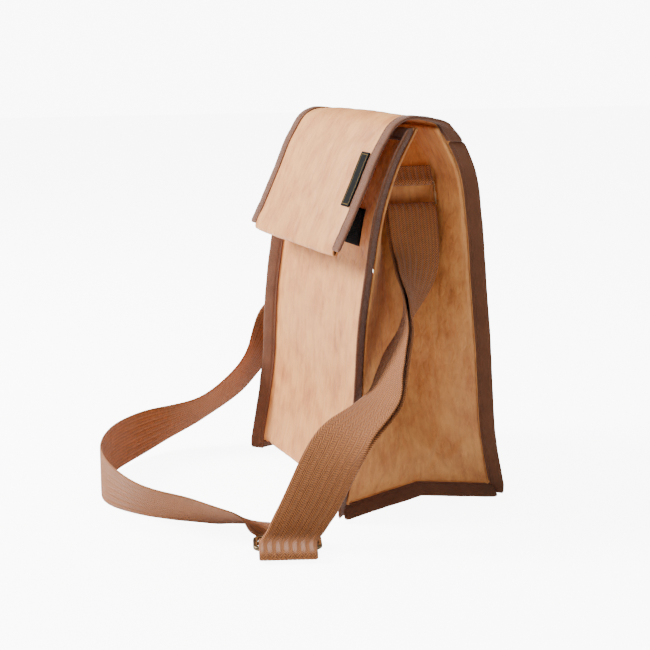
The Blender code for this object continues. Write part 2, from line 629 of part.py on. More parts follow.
def build_long_run(build, webbing):
    """The strap from the left ring round the ground to its turn in front of the slider."""
    half = WEBBING_THICKNESS / 2
    upper = SLIDER_Z + SLIDER_WIRE / 2 + SEAM_GAP + half
    radius = (upper - half) / 2
    centre = SLIDER_TIP - radius
    turn = [(SLIDER_DEPTH / 2 + SEAM_GAP, upper), ((SLIDER_DEPTH / 2 + centre) / 2, upper)]
    turn += [(centre + radius * math.cos(a), half + radius + radius * math.sin(a))
             for a in np.radians((70, 35, 0, -35, -70))]
    back = -SLIDER_DEPTH / 2 - SLIDER_BACK
    turn += [(centre - radius, half), (0, half), (back + SLIDER_BACK / 2, half), (back, half)]
    heading = math.degrees(SLIDER_HEADING)
    floor_rows = [(*slider_point(a, 0, z), heading, 180.0) for a, z in turn]
    rows = placed_route(LEFT_RUN)
    start = loop_end(-1)
    fine = resample(np.vstack([(*start, 0.0, 0.0), rows, floor_rows[::-1]]), 120)
    square = np.clip((CRUMPLE_LEAN - fine[:, 4]) / 10, 0, 1)
    grid = ribbon_rows(fine[:, :3], width_direction(fine[:, 3], fine[:, 4]), WEBBING_WIDTH,
                       square)
    flatness = np.hypot(*(grid[:, 1] - grid[:, 0])[:, :2].T) / WEBBING_WIDTH
    grid[..., 2] += np.maximum(half * flatness - grid[..., 2].min(axis=1), 0)[:, None]
    build.sheet("strap_long_run", grid, WEBBING_THICKNESS, webbing, offset=0.0)


def main():
    """Build every piece of the bag."""
    clear_scene()
    build = Builder("shoulder_bag")
    cloth = make_material("kraft_cloth", (0.72, 0.47, 0.27), 0.8)
    tape = make_material("brown_tape", (0.33, 0.15, 0.08), 0.85)
    webbing = make_material("tan_webbing", (0.58, 0.27, 0.1), 0.8)
    hook = make_material("black_fastener", (0.02, 0.02, 0.02), 0.9)
    label = make_material("black_label", (0.03, 0.03, 0.03), 0.6)
    brass = make_material("ring_brass", (0.5, 0.36, 0.2), 0.35, 1.0)
    bronze = make_material("slider_bronze", (0.3, 0.23, 0.15), 0.4, 1.0)
    build_panels(build, cloth)
    build_gussets(build, cloth)
    build_bindings(build, tape)
    build_mouth(build, tape, hook)
    build_flap(build, cloth, tape, hook, label)
    build_rings(build, brass, webbing)
    build_slider(build, bronze, webbing)
    build_layers(build, webbing)
    build_long_run(build, webbing)


main()
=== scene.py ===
"""Looks of a small fold-over shoulder bag in kraft-paper cloth, built around its frame.

Every length is in metres, +X to the bag's right end, +Y to its back, +Z up.
Cloth, tape and webbing are grids worked out as whole arrays and closed into solids.
"""

import logging
import math
from dataclasses import dataclass, field
from enum import Enum
from typing import Sequence

import bpy
import numpy as np
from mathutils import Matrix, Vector


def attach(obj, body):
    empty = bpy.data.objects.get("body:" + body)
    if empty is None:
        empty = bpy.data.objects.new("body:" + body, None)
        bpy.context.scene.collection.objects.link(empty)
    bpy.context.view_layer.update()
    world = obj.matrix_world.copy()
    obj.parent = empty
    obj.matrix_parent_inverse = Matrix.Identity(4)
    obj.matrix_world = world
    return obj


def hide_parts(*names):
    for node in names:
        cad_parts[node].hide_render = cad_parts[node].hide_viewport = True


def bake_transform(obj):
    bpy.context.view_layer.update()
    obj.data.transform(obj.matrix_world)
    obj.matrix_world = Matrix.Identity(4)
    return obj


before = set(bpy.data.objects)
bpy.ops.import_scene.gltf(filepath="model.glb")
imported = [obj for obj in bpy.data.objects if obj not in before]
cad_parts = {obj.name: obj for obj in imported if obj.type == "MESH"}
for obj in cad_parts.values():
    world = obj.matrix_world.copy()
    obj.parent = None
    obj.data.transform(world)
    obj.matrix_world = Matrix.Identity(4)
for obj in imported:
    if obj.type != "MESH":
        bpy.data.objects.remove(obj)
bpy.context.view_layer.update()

MM = 0.001
ROOT_HALF = math.sqrt(0.5)
FINE_ROWS = 1200        # rows of the fine curve that a line's length is measured on
NOISE_CELLS = 128       # random lattice values along each side of a noise's table
LOG = logging.getLogger("shoulder_bag")
Array = np.ndarray


# ------------------------------------------------------------------ plain geometry
def smooth_curve(knots: Array, at: Array) -> Array:
    """Cubic curve through knots, with slopes taken from each knot's neighbours.

    Args:
        knots: Rows of parameter and values.
        at: Parameters to read the curve at.
    Returns:
        One row of values for each parameter.
    """
    knots = np.asarray(knots, float)
    key, values = knots[:, 0], knots[:, 1:]
    slopes = np.gradient(values, key, axis=0)
    at = np.clip(np.asarray(at, float), key[0], key[-1])
    left = np.clip(np.searchsorted(key, at, side="right") - 1, 0, len(key) - 2)
    span = (key[left + 1] - key[left])[:, None]
    share = ((at - key[left]) / (key[left + 1] - key[left]))[:, None]
    ease = share * share * (3 - 2 * share)
    start = share * (1 - share) ** 2 * span
    finish = -(share ** 2) * (1 - share) * span
    return (values[left] * (1 - ease) + values[left + 1] * ease
            + slopes[left] * start + slopes[left + 1] * finish)


def arc_length(points: Array) -> Array:
    """Distance along a line of points, from its first point."""
    return np.r_[0, np.cumsum(np.linalg.norm(np.diff(points, axis=0), axis=1))]


def resample(points: Array, count: int) -> Array:
    """Rows spread evenly by length along the smooth curve through some points.

    Args:
        points: Rows whose first three numbers are a place; the rest goes along.
        count: How many rows to return.
    Returns:
        The new rows.
    """
    points = np.asarray(points, float)
    chord = arc_length(points[:, :3])
    fine = smooth_curve(np.c_[chord, points], np.linspace(0, chord[-1], FINE_ROWS))
    return spread(fine, count)


def interpolated(at: Array, key: Array, rows: Array) -> Array:
    """Rows read at some keys, along straight pieces between the given ones."""
    return np.column_stack([np.interp(at, key, column) for column in rows.T])


def moving_average(rows: Array, reach: int) -> Array:
    """Each row averaged with its neighbours up to a reach, without padding the ends."""
    kernel = np.ones(2 * reach + 1) / (2 * reach + 1)
    return np.column_stack([np.convolve(column, kernel, "valid") for column in rows.T])


def softened(rows: Array, reach: int) -> Array:
    """Moving average that keeps the end rows, which are turned about to pad it."""
    before = 2 * rows[0] - rows[reach:0:-1]
    after = 2 * rows[-1] - rows[-2:-reach - 2:-1]
    return moving_average(np.vstack([before, rows, after]), reach)


def spread(rows: Array, count: int) -> Array:
    """Rows spread evenly by length along straight pieces between the given rows."""
    length = arc_length(rows[:, :3])
    return interpolated(np.linspace(0, length[-1], count), length, rows)


def unit(vectors: Array) -> Array:
    """The vectors, each divided by its length."""
    return vectors / np.maximum(np.linalg.norm(vectors, axis=-1, keepdims=True), 1e-12)


def ease(share: Array) -> Array:
    """Smooth step: 3 s squared minus 2 s cubed, of a share held between 0 and 1."""
    share = np.clip(share, 0.0, 1.0)
    return share * share * (3 - 2 * share)


def value_noise(u: Array, v: Array, seed: int, octaves: int = 3) -> Array:
    """Smooth noise from -1 to 1: random lattice values, blended by the smooth step.

    Args:
        u: First coordinate, one lattice cell to each whole number.
        v: Second coordinate.
        seed: Which noise.
        octaves: Layers, each twice as fine and half as strong.
    Returns:
        The noise at each place, in the shape of u.
    """
    total, strength, weight = np.zeros(np.broadcast(u, v).shape), 1.0, 0.0
    for octave in range(octaves):
        random = np.random.default_rng(seed + 101 * octave)
        table = random.random((NOISE_CELLS, NOISE_CELLS)) * 2 - 1
        x, y = u * 2 ** octave + 17.3 * octave, v * 2 ** octave + 9.1 * octave
        left, low = np.floor(x).astype(int), np.floor(y).astype(int)
        a, b = ease(x - left), ease(y - low)
        column, row = left % NOISE_CELLS, low % NOISE_CELLS
        right, high = (left + 1) % NOISE_CELLS, (low + 1) % NOISE_CELLS
        near = table[row, column] * (1 - a) + table[row, right] * a
        far = table[high, column] * (1 - a) + table[high, right] * a
        total = total + strength * (near * (1 - b) + far * b)
        weight += strength
        strength /= 2
    return total / weight


def crease_noise(u: Array, v: Array, seed: int) -> Array:
    """Sharp folds between flat patches: 1 minus twice the size of smooth noise."""
    return 1 - 2 * np.abs(value_noise(u, v, seed, 2))


def grid_normals(grid: Array) -> Array:
    """Unit normal at each point of a grid: row direction crossed with column direction."""
    return unit(np.cross(np.gradient(grid, axis=0), np.gradient(grid, axis=1)))


def side_of(grid: Array, row: int, column: int, way: Sequence[float]) -> float:
    """1 when a grid's normal at one of its points goes the given way, else -1."""
    return 1.0 if grid_normals(grid)[row, column] @ np.array(way) > 0 else -1.0


def line_outward(line: Array, row: int, way: Sequence[float]) -> Array:
    """Directions square to a (y, z) line, on the side that goes a given way at one row.

    Args:
        line: The line's places.
        row: Which row picks the side.
        way: The way (y, z) that the row's direction has to go.
    Returns:
        One unit direction for each row.
    """
    tangent = unit(np.gradient(line, axis=0))
    outward = np.column_stack([-tangent[:, 1], tangent[:, 0]])
    return outward if outward[row] @ np.array(way) > 0 else -outward


def grid_faces(rows: int, columns: int, wrap: bool = False) -> Array:
    """Quads of a grid, as indices; wrap joins its last column to its first."""
    index = np.arange(rows * columns).reshape(rows, columns)
    if wrap:
        index = np.column_stack([index, index[:, 0]])
    return np.stack([index[:-1, :-1], index[:-1, 1:], index[1:, 1:], index[1:, :-1]],
                    axis=-1).reshape(-1, 4)


def signed_volume(points: Array, quads: Array) -> float:
    """Volume inside a closed mesh of quads, negative when it is inside out."""
    centred = points - points.mean(axis=0)
    a, b, c, d = (centred[quads[:, k]] for k in range(4))
    return float((np.einsum("ij,ij->i", a, np.cross(b, c))
                  + np.einsum("ij,ij->i", a, np.cross(c, d))).sum())


class Piece:
    """A finished mesh object at the origin."""

    def __init__(self, name: str, points: Array, quads: Array, caps: Sequence[Sequence[int]],
                 uv: Array) -> None:
        """Make the mesh, facing outwards, with its own UV map in metres.

        Args:
            name: The piece's name.
            points: Vertices, one row each.
            quads: Four-cornered faces.
            caps: End faces with any number of corners.
            uv: Pattern place of each vertex.
        """
        if signed_volume(points, quads) < 0:
            quads, caps = quads[:, ::-1], [cap[::-1] for cap in caps]
        mesh = bpy.data.meshes.new(name)
        faces = quads.tolist() + [list(map(int, cap)) for cap in caps]
        mesh.from_pydata(points.tolist(), [], faces)
        corner = np.empty(len(mesh.loops), int)
        mesh.loops.foreach_get("vertex_index", corner)
        layer = mesh.uv_layers.new(name="UVMap")
        layer.data.foreach_set("uv", uv[corner].astype(np.float32).ravel())
        mesh.polygons.foreach_set("use_smooth", np.arange(len(faces)) < len(quads))
        mesh.update()
        self.item = bpy.data.objects.new(name, mesh)
        bpy.context.scene.collection.objects.link(self.item)

    def dress(self, material: bpy.types.Material, slot: str) -> "Piece":
        """Give the piece its material."""
        self.item.data.materials.append(material)
        return self

    def place(self, body: str, *nodes: str) -> "Piece":
        """Ride on a body, and stand for some CAD nodes."""
        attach(self.item, body)
        return self.stands_for(*nodes)

    def bend(self, fixed: str, moving: str, start: Sequence[float], end: Sequence[float],
             *nodes: str) -> "Piece":
        """Bake the piece's place into its mesh, and stand for some CAD nodes."""
        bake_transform(self.item)
        return self.stands_for(*nodes)

    def stands_for(self, *nodes: str) -> "Piece":
        """Hide the CAD nodes that this piece replaces, and report it."""
        if nodes:
            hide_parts(*nodes)
        LOG.info("%s: %d faces", self.item.name, len(self.item.data.polygons))
        return self


def shell(name: str, grid: Array, uv: Array, thickness: float) -> Piece:
    """Close a grid into a sheet: the grid, and the grid moved back along its normals.

    Args:
        name: The piece's name.
        grid: Outer face, shape (rows, columns, 3).
        uv: Pattern place of each grid point, shape (rows, columns, 2).
        thickness: How far behind the outer face the inner one is; the sign picks the side.
    Returns:
        The closed sheet.
    """
    rows, columns = grid.shape[:2]
    inner = grid - grid_normals(grid) * thickness
    count = rows * columns
    index = np.arange(count).reshape(rows, columns)
    rim = np.concatenate([index[0], index[1:, -1], index[-1, -2::-1], index[-2:0:-1, 0]])
    ahead = np.roll(rim, -1)
    outer = grid_faces(rows, columns)
    side = np.stack([rim, rim + count, ahead + count, ahead], axis=-1)
    quads = np.vstack([outer, outer[:, ::-1] + count, side])
    points = np.vstack([grid.reshape(-1, 3), inner.reshape(-1, 3)])
    return Piece(name, points, quads, [], np.vstack([uv.reshape(-1, 2)] * 2))


@dataclass
class Track:
    """A line that a profile is carried along: places, and the profile's two directions."""

    places: Array
    across: Array
    normal: Array

    @classmethod
    def along(cls, places: Array, across: Array) -> "Track":
        """Track whose normal is the width direction crossed with the way it runs."""
        heading = unit(np.gradient(places, axis=0))
        normal = unit(np.cross(across, heading))
        return cls(places, unit(across), normal)

    def part(self, first: float, last: float) -> "Track":
        """The stretch between two shares of the track's rows, both ends included."""
        top = len(self.places) - 1
        cut = slice(int(round(first * top)), int(round(last * top)) + 1)
        return Track(self.places[cut], self.across[cut], self.normal[cut])

    def length(self) -> float:
        """Length along the places."""
        return float(arc_length(self.places)[-1])


def sweep(name: str, track: Track, profile: Array, from_length: float = 0.0,
          closed: bool = False) -> Piece:
    """Carry a closed profile along a track: place + across * a + normal * b.

    Args:
        name: The piece's name.
        track: Where the profile goes.
        profile: Points (a, b), shape (count, 2), or one profile for each row.
        from_length: Pattern length at the first row.
        closed: Whether the track's end joins its start.
    Returns:
        The solid.
    """
    rows = len(track.places)
    profile = np.broadcast_to(profile, (rows, *profile.shape[-2:]))
    grid = (track.places[:, None] + track.across[:, None] * profile[..., :1]
            + track.normal[:, None] * profile[..., 1:])
    columns = grid.shape[1]
    along = from_length + arc_length(track.places)
    uv = np.stack([profile[..., 0], np.broadcast_to(along[:, None], profile.shape[:2])], -1)
    quads = grid_faces(rows, columns, wrap=True)
    if closed:
        last = np.arange(columns) + (rows - 1) * columns
        first = np.arange(columns)
        joint = np.stack([last, np.roll(last, -1), np.roll(first, -1), first], -1)
        return Piece(name, grid.reshape(-1, 3), np.vstack([quads, joint]), [],
                     uv.reshape(-1, 2))
    caps = [list(range(columns))[::-1], [columns * (rows - 1) + k for k in range(columns)]]
    return Piece(name, grid.reshape(-1, 3), quads, caps, uv.reshape(-1, 2))


def loop_headings(places: Array) -> Array:
    """Way that a closed line runs at each of its places."""
    return unit(np.roll(places, -1, axis=0) - np.roll(places, 1, axis=0))


def round_profile(radius: float) -> Array:
    """Circle of sixteen points."""
    angle = np.linspace(0, 2 * math.pi, 16, endpoint=False)
    return np.column_stack([radius * np.cos(angle), radius * np.sin(angle)])


def threads(name: str, centres: Array, headings: Array, normals: Array, length: float,
            radius: float) -> Piece:
    """Many short sewn threads, each a capsule that dips at both ends.

    A thread's line is centre + heading * s, sunk by radius * (2 s / length) squared.

    Args:
        name: The piece's name.
        centres: Middle of each thread on the cloth's face.
        headings: Way each thread runs.
        normals: Way out of the cloth.
        length: Length of a thread.
        radius: Half of its thickness.
    Returns:
        All the threads as one piece.
    """
    rings, sides = 5, 6
    share = np.linspace(-1, 1, rings)
    size = radius * np.sqrt(np.clip(1.08 - share ** 2, 0, 1))
    angle = np.linspace(0, 2 * math.pi, sides, endpoint=False)
    heading, normal = unit(headings), unit(normals)
    side = np.cross(heading, normal)
    line = (centres[:, None] + heading[:, None] * (share * length / 2)[None, :, None]
            - normal[:, None] * (radius * 1.1 * share ** 2)[None, :, None])
    around = (side[:, None, None] * np.cos(angle)[None, None, :, None]
              + normal[:, None, None] * np.sin(angle)[None, None, :, None])
    points = line[:, :, None] + around * size[None, :, None, None]
    count = len(centres)
    base = grid_faces(rings, sides, wrap=True)
    shift = (np.arange(count) * rings * sides)[:, None, None]
    quads = (base[None] + shift).reshape(-1, 4)
    ring = np.arange(sides)
    ends = np.stack([ring[::-1], ring + (rings - 1) * sides])
    caps = (ends[None] + shift).reshape(-1, sides)
    uv = np.tile(np.column_stack([np.repeat(share, sides), np.tile(angle, rings)]), (count, 1))
    return Piece(name, points.reshape(-1, 3), quads, caps.tolist(), uv * MM)


# ---------------------------------------------------------------------- materials
class Value:
    """A shader number; Python arithmetic on it adds Math nodes."""

    def __init__(self, maker: "Shader", socket: bpy.types.NodeSocket) -> None:
        """Wrap a socket that the maker's nodes can read."""
        self.maker, self.socket = maker, socket

    def math(self, operation: str, *others: "Value | float", first: bool = True) -> "Value":
        """Math node of this value and others; first says whether this one comes first."""
        terms = [self, *others] if first else [*others, self]
        node = self.maker.node("ShaderNodeMath", {"operation": operation},
                               {index: term for index, term in enumerate(terms)})
        return Value(self.maker, node.outputs[0])

    def __add__(self, other: "Value | float") -> "Value":
        """Sum."""
        return self.math("ADD", other)

    def __radd__(self, other: float) -> "Value":
        """Sum with a number on the left."""
        return self.math("ADD", other)

    def __sub__(self, other: "Value | float") -> "Value":
        """Difference."""
        return self.math("SUBTRACT", other)

    def __rsub__(self, other: float) -> "Value":
        """Difference from a number on the left."""
        return self.math("SUBTRACT", other, first=False)

    def __mul__(self, other: "Value | float") -> "Value":
        """Product."""
        return self.math("MULTIPLY", other)

    def __rmul__(self, other: float) -> "Value":
        """Product with a number on the left."""
        return self.math("MULTIPLY", other)

    def sine(self) -> "Value":
        """Sine."""
        return self.math("SINE")

    def size(self) -> "Value":
        """Value without its sign."""
        return self.math("ABSOLUTE")

    def wave(self, period: float) -> "Value":
        """Wave from 0 to 1 that repeats after a period."""
        return (self * (2 * math.pi / period)).sine() * 0.5 + 0.5

    def zigzag(self, period: float) -> "Value":
        """Triangle wave from 0 to half a period."""
        return self.math("PINGPONG", period / 2)

    def band(self, low: float, high: float) -> "Value":
        """0 below low, 1 above high, smooth between."""
        node = self.maker.node("ShaderNodeMapRange", {"interpolation_type": "SMOOTHSTEP"},
                               {"Value": self, "From Min": low, "From Max": high})
        return Value(self.maker, node.outputs["Result"])


class Shader:
    """One Principled material and the nodes that feed it."""

    def __init__(self, name: str) -> None:
        """Start from Blender's own Principled material."""
        self.material = bpy.data.materials.new(name)
        self.material.use_nodes = True
        self.tree = self.material.node_tree
        self.surface = self.tree.nodes["Principled BSDF"]
        uv = self.node("ShaderNodeUVMap", {"uv_map": "UVMap"}, {})
        self.uv = uv.outputs["UV"]
        self.place = self.node("ShaderNodeTexCoord", {}, {}).outputs["Object"]

    def node(self, kind: str, settings: dict, inputs: dict) -> bpy.types.Node:
        """Add a node.

        Args:
            kind: Its type's name.
            settings: Its own settings, set before its sockets.
            inputs: A value, socket or Value for each socket's name or number.
        Returns:
            The node.
        """
        node = self.tree.nodes.new(kind)
        for key, value in settings.items():
            setattr(node, key, value)
        for key, value in inputs.items():
            self.feed(node.inputs[key], value)
        return node

    def feed(self, socket: bpy.types.NodeSocket, value: object) -> None:
        """Link or set one socket."""
        if isinstance(value, Value):
            value = value.socket
        if isinstance(value, bpy.types.NodeSocket):
            self.tree.links.new(value, socket)
        else:
            socket.default_value = value

    def across_and_along(self) -> "tuple[Value, Value]":
        """The two numbers of the piece's own UV map, in metres."""
        split = self.node("ShaderNodeSeparateXYZ", {}, {"Vector": self.uv})
        return Value(self, split.outputs["X"]), Value(self, split.outputs["Y"])

    def noise(self, scale: float, detail: float = 3.0, stretch: Sequence[float] = (1, 1, 1),
              on_uv: bool = True) -> Value:
        """Noise from 0 to 1, with cells of 1 / scale metres, stretched by each axis."""
        vector = self.node("ShaderNodeMapping", {}, {
            "Vector": self.uv if on_uv else self.place, "Scale": tuple(stretch)})
        node = self.node("ShaderNodeTexNoise", {}, {
            "Vector": vector.outputs[0], "Scale": scale, "Detail": detail, "Roughness": 0.55})
        return Value(self, node.outputs[0])

    def cells(self, scale: float, stretch: Sequence[float] = (1, 1, 1)) -> Value:
        """Distance from the edges of crumpled flat patches of 1 / scale metres."""
        vector = self.node("ShaderNodeMapping", {}, {"Vector": self.uv, "Scale": tuple(stretch)})
        node = self.node("ShaderNodeTexVoronoi", {"feature": "DISTANCE_TO_EDGE"}, {
            "Vector": vector.outputs[0], "Scale": scale, "Randomness": 1.0})
        return Value(self, node.outputs["Distance"])

    def ramp(self, value: Value, *stops: "tuple[float, tuple[float, float, float]]"
             ) -> bpy.types.NodeSocket:
        """Colour that runs through stops as the value goes from 0 to 1."""
        node = self.node("ShaderNodeValToRGB", {}, {"Fac": value})
        elements = node.color_ramp.elements
        while len(elements) < len(stops):
            elements.new(0.5)
        for element, (position, colour) in zip(elements, stops):
            element.position, element.color = position, (*colour, 1)
        return node.outputs["Color"]

    def mix(self, share: Value, first: object, second: object) -> bpy.types.NodeSocket:
        """Mix two colours by a share."""
        node = self.node("ShaderNodeMix", {"data_type": "RGBA"}, {0: share})
        for index, colour in ((6, first), (7, second)):
            self.feed(node.inputs[index], (*colour, 1) if isinstance(colour, tuple) else colour)
        return node.outputs[2]

    def finish(self, colour: object, roughness: object, height: Value, depth: float,
               **constants: float) -> bpy.types.Material:
        """Feed the surface.

        Args:
            colour: Base colour, a link.
            roughness: A number or Value.
            height: Relief from 0 to 1.
            depth: How deep that relief is.
            constants: Other sockets' values, with underscores for spaces.
        Returns:
            The material.
        """
        self.feed(self.surface.inputs["Base Color"], colour)
        self.feed(self.surface.inputs["Roughness"], roughness)
        for key, value in constants.items():
            self.surface.inputs[key.replace("_", " ")].default_value = value
        bump = self.node("ShaderNodeBump", {}, {"Height": height, "Distance": depth,
                                                "Strength": 1.0})
        self.feed(self.surface.inputs["Normal"], bump.outputs[0])
        return self.material


@dataclass(frozen=True)
class KraftCloth:
    """Washable paper cloth: peach-tan, crumpled in fine upright lines, slightly sleek."""

    pale: "tuple[float, float, float]" = (0.84, 0.36, 0.098)
    tan: "tuple[float, float, float]" = (0.66, 0.235, 0.056)
    brown: "tuple[float, float, float]" = (0.30, 0.082, 0.017)

    def make(self, name: str = "kraft_cloth") -> bpy.types.Material:
        """Material with blotches, streaks and crumple lines, their creases darkened with painted
        shade.
        """
        shader = Shader(name)
        blotch = shader.noise(38, 4)
        streak = shader.noise(190, 3, (1.0, 0.22, 1))
        speck = shader.noise(1500, 2)
        crumple = shader.cells(58, (1.0, 0.42, 1)).band(0.0, 0.12)
        small = shader.cells(210, (1.0, 0.5, 1)).band(0.0, 0.2)
        tone = blotch * 0.55 + streak * 0.3 + speck * 0.15
        colour = shader.ramp(tone, (0.28, self.brown), (0.42, self.tan), (0.56, self.pale))
        # Painted shade: the crumple crease lines are mixed 13% toward brown.
        colour = shader.mix((1 - crumple) * 0.13, colour, self.brown)
        height = crumple * 0.2 + small * 0.15 + streak * 0.35 + blotch * 0.3
        return shader.finish(colour, blotch * 0.22 + 0.42, height, 1.0 * MM,
                             Sheen_Weight=0.15, Sheen_Roughness=0.5)


@dataclass(frozen=True)
class BindingTape:
    """Twill seam tape: brown, with slanting ridges a millimetre apart and stray fibres."""

    light: "tuple[float, float, float]" = (0.30, 0.110, 0.045)
    dark: "tuple[float, float, float]" = (0.060, 0.017, 0.006)
    pitch: float = 1.05 * MM

    def make(self, name: str = "brown_tape") -> bpy.types.Material:
        """Material whose ridges slant over the tape's own map."""
        shader = Shader(name)
        across, along = shader.across_and_along()
        wobble = shader.noise(300, 2) * (0.5 * MM)
        ridge = (along + across * 0.9 + wobble).wave(self.pitch)
        yarn = (along - across * 1.1).wave(self.pitch * 0.62)
        fuzz = shader.noise(2200, 3)
        worn = shader.noise(60, 3)
        tone = ridge * 0.4 + yarn * 0.12 + fuzz * 0.25 + worn * 0.23
        colour = shader.ramp(tone, (0.22, self.dark), (0.75, self.light))
        return shader.finish(colour, 0.86, ridge * 0.55 + yarn * 0.2 + fuzz * 0.25, 0.4 * MM,
                             Sheen_Weight=0.3, Sheen_Roughness=0.4)


@dataclass(frozen=True)
class Webbing:
    """Strap webbing: tan, with chevron rows that point along it and ribs between them."""

    light: "tuple[float, float, float]" = (0.56, 0.195, 0.048)
    dark: "tuple[float, float, float]" = (0.13, 0.034, 0.007)
    chevron_width: float = 5.7 * MM
    row_pitch: float = 1.45 * MM

    def make(self, name: str = "tan_webbing") -> bpy.types.Material:
        """Material whose rows zigzag over the strap's own map."""
        shader = Shader(name)
        across, along = shader.across_and_along()
        lean = (across + 40 * MM).zigzag(self.chevron_width)
        row = (along + lean * 0.85).wave(self.row_pitch)
        rib = (across + 40 * MM).wave(self.chevron_width / 2)
        fuzz = shader.noise(1800, 3)
        worn = shader.noise(45, 3, (1, 0.5, 1))
        tone = row * 0.52 + rib * 0.16 + fuzz * 0.16 + worn * 0.16
        colour = shader.ramp(tone, (0.2, self.dark), (0.72, self.light))
        return shader.finish(colour, 0.8, row * 0.65 + rib * 0.15 + fuzz * 0.2, 0.7 * MM,
                             Sheen_Weight=0.25, Sheen_Roughness=0.4)


@dataclass(frozen=True)
class Thread:
    """Sewing thread of one colour, twisted from fine strands."""

    colour: "tuple[float, float, float]"

    def make(self, name: str) -> bpy.types.Material:
        """Material with the strands' twist."""
        shader = Shader(name)
        fuzz = shader.noise(3000, 2, on_uv=False)
        dim = tuple(channel * 0.6 for channel in self.colour)
        colour = shader.ramp(fuzz, (0.3, dim), (0.7, self.colour))
        return shader.finish(colour, 0.7, fuzz, 0.1 * MM)


@dataclass(frozen=True)
class Fastener:
    """Black hook-and-loop pile, matted unevenly."""

    pitch: float = 1.3 * MM

    def make(self, name: str = "hook_and_loop") -> bpy.types.Material:
        """Material with rows of small loops."""
        shader = Shader(name)
        across, along = shader.across_and_along()
        pile = across.wave(self.pitch) * along.wave(self.pitch)
        fuzz = shader.noise(1600, 4)
        tone = pile * 0.4 + fuzz * 0.6
        colour = shader.ramp(tone, (0.2, (0.003, 0.003, 0.003)), (0.8, (0.018, 0.017, 0.016)))
        return shader.finish(colour, 0.93, tone, 0.7 * MM, Specular_IOR_Level=0.08)


@dataclass(frozen=True)
class LabelCloth:
    """Black damask label with a plain ochre line woven round its border."""

    half_width: float = 5.75 * MM
    ground: "tuple[float, float, float]" = (0.004, 0.004, 0.004)
    line: "tuple[float, float, float]" = (0.30, 0.19, 0.05)

    def make(self, length: float, name: str = "black_label") -> bpy.types.Material:
        """Material for a label of the given length."""
        shader = Shader(name)
        across, along = shader.across_and_along()
        weave = (along + across).wave(0.5 * MM) * 0.5 + (along - across).wave(0.5 * MM) * 0.5
        ground = shader.ramp(weave, (0.2, self.ground), (0.9, (0.012, 0.012, 0.012)))
        near_side = self.half_width - across.size()
        near_end = length / 2 - (along - length / 2).size()
        edge = near_side.math("MINIMUM", near_end)
        line = edge.band(1.5 * MM, 1.6 * MM) * (1 - edge.band(1.85 * MM, 1.95 * MM))
        colour = shader.mix(line * (weave * 0.4 + 0.6), ground, self.line)
        return shader.finish(colour, 0.7, weave, 0.15 * MM, Specular_IOR_Level=0.12)


class Metal(Enum):
    """The two metals: bright wire and dark antique plate, as (bright, dark, roughness)."""

    RING = ((0.80, 0.60, 0.36), (0.42, 0.27, 0.13), 0.26)
    SLIDER = ((0.30, 0.22, 0.12), (0.040, 0.027, 0.016), 0.34)

    def make(self, name: str) -> bpy.types.Material:
        """Material with tarnish in patches and fine scratches along the wire."""
        bright, dark, roughness = self.value
        shader = Shader(name)
        patch = shader.noise(130, 4, on_uv=False)
        scratch = shader.noise(900, 3, (1, 0.08, 1))
        tone = patch * 0.7 + scratch * 0.3
        colour = shader.ramp(tone, (0.36, dark), (0.62, bright))
        return shader.finish(colour, patch * 0.25 + (roughness - 0.1), scratch, 0.08 * MM,
                             Metallic=1.0)


class Finishes:
    """Every material of the bag, each made once."""

    def __init__(self) -> None:
        """Make them all but the label, which needs its length."""
        self.cloth = KraftCloth().make()
        self.tape = BindingTape().make()
        self.webbing = Webbing().make()
        self.fastener = Fastener().make()
        self.ring = Metal.RING.make("ring_brass")
        self.slider = Metal.SLIDER.make("slider_bronze")
        self.brown_thread = Thread((0.20, 0.075, 0.035)).make("brown_thread")
        self.rust_thread = Thread((0.45, 0.16, 0.06)).make("rust_thread")


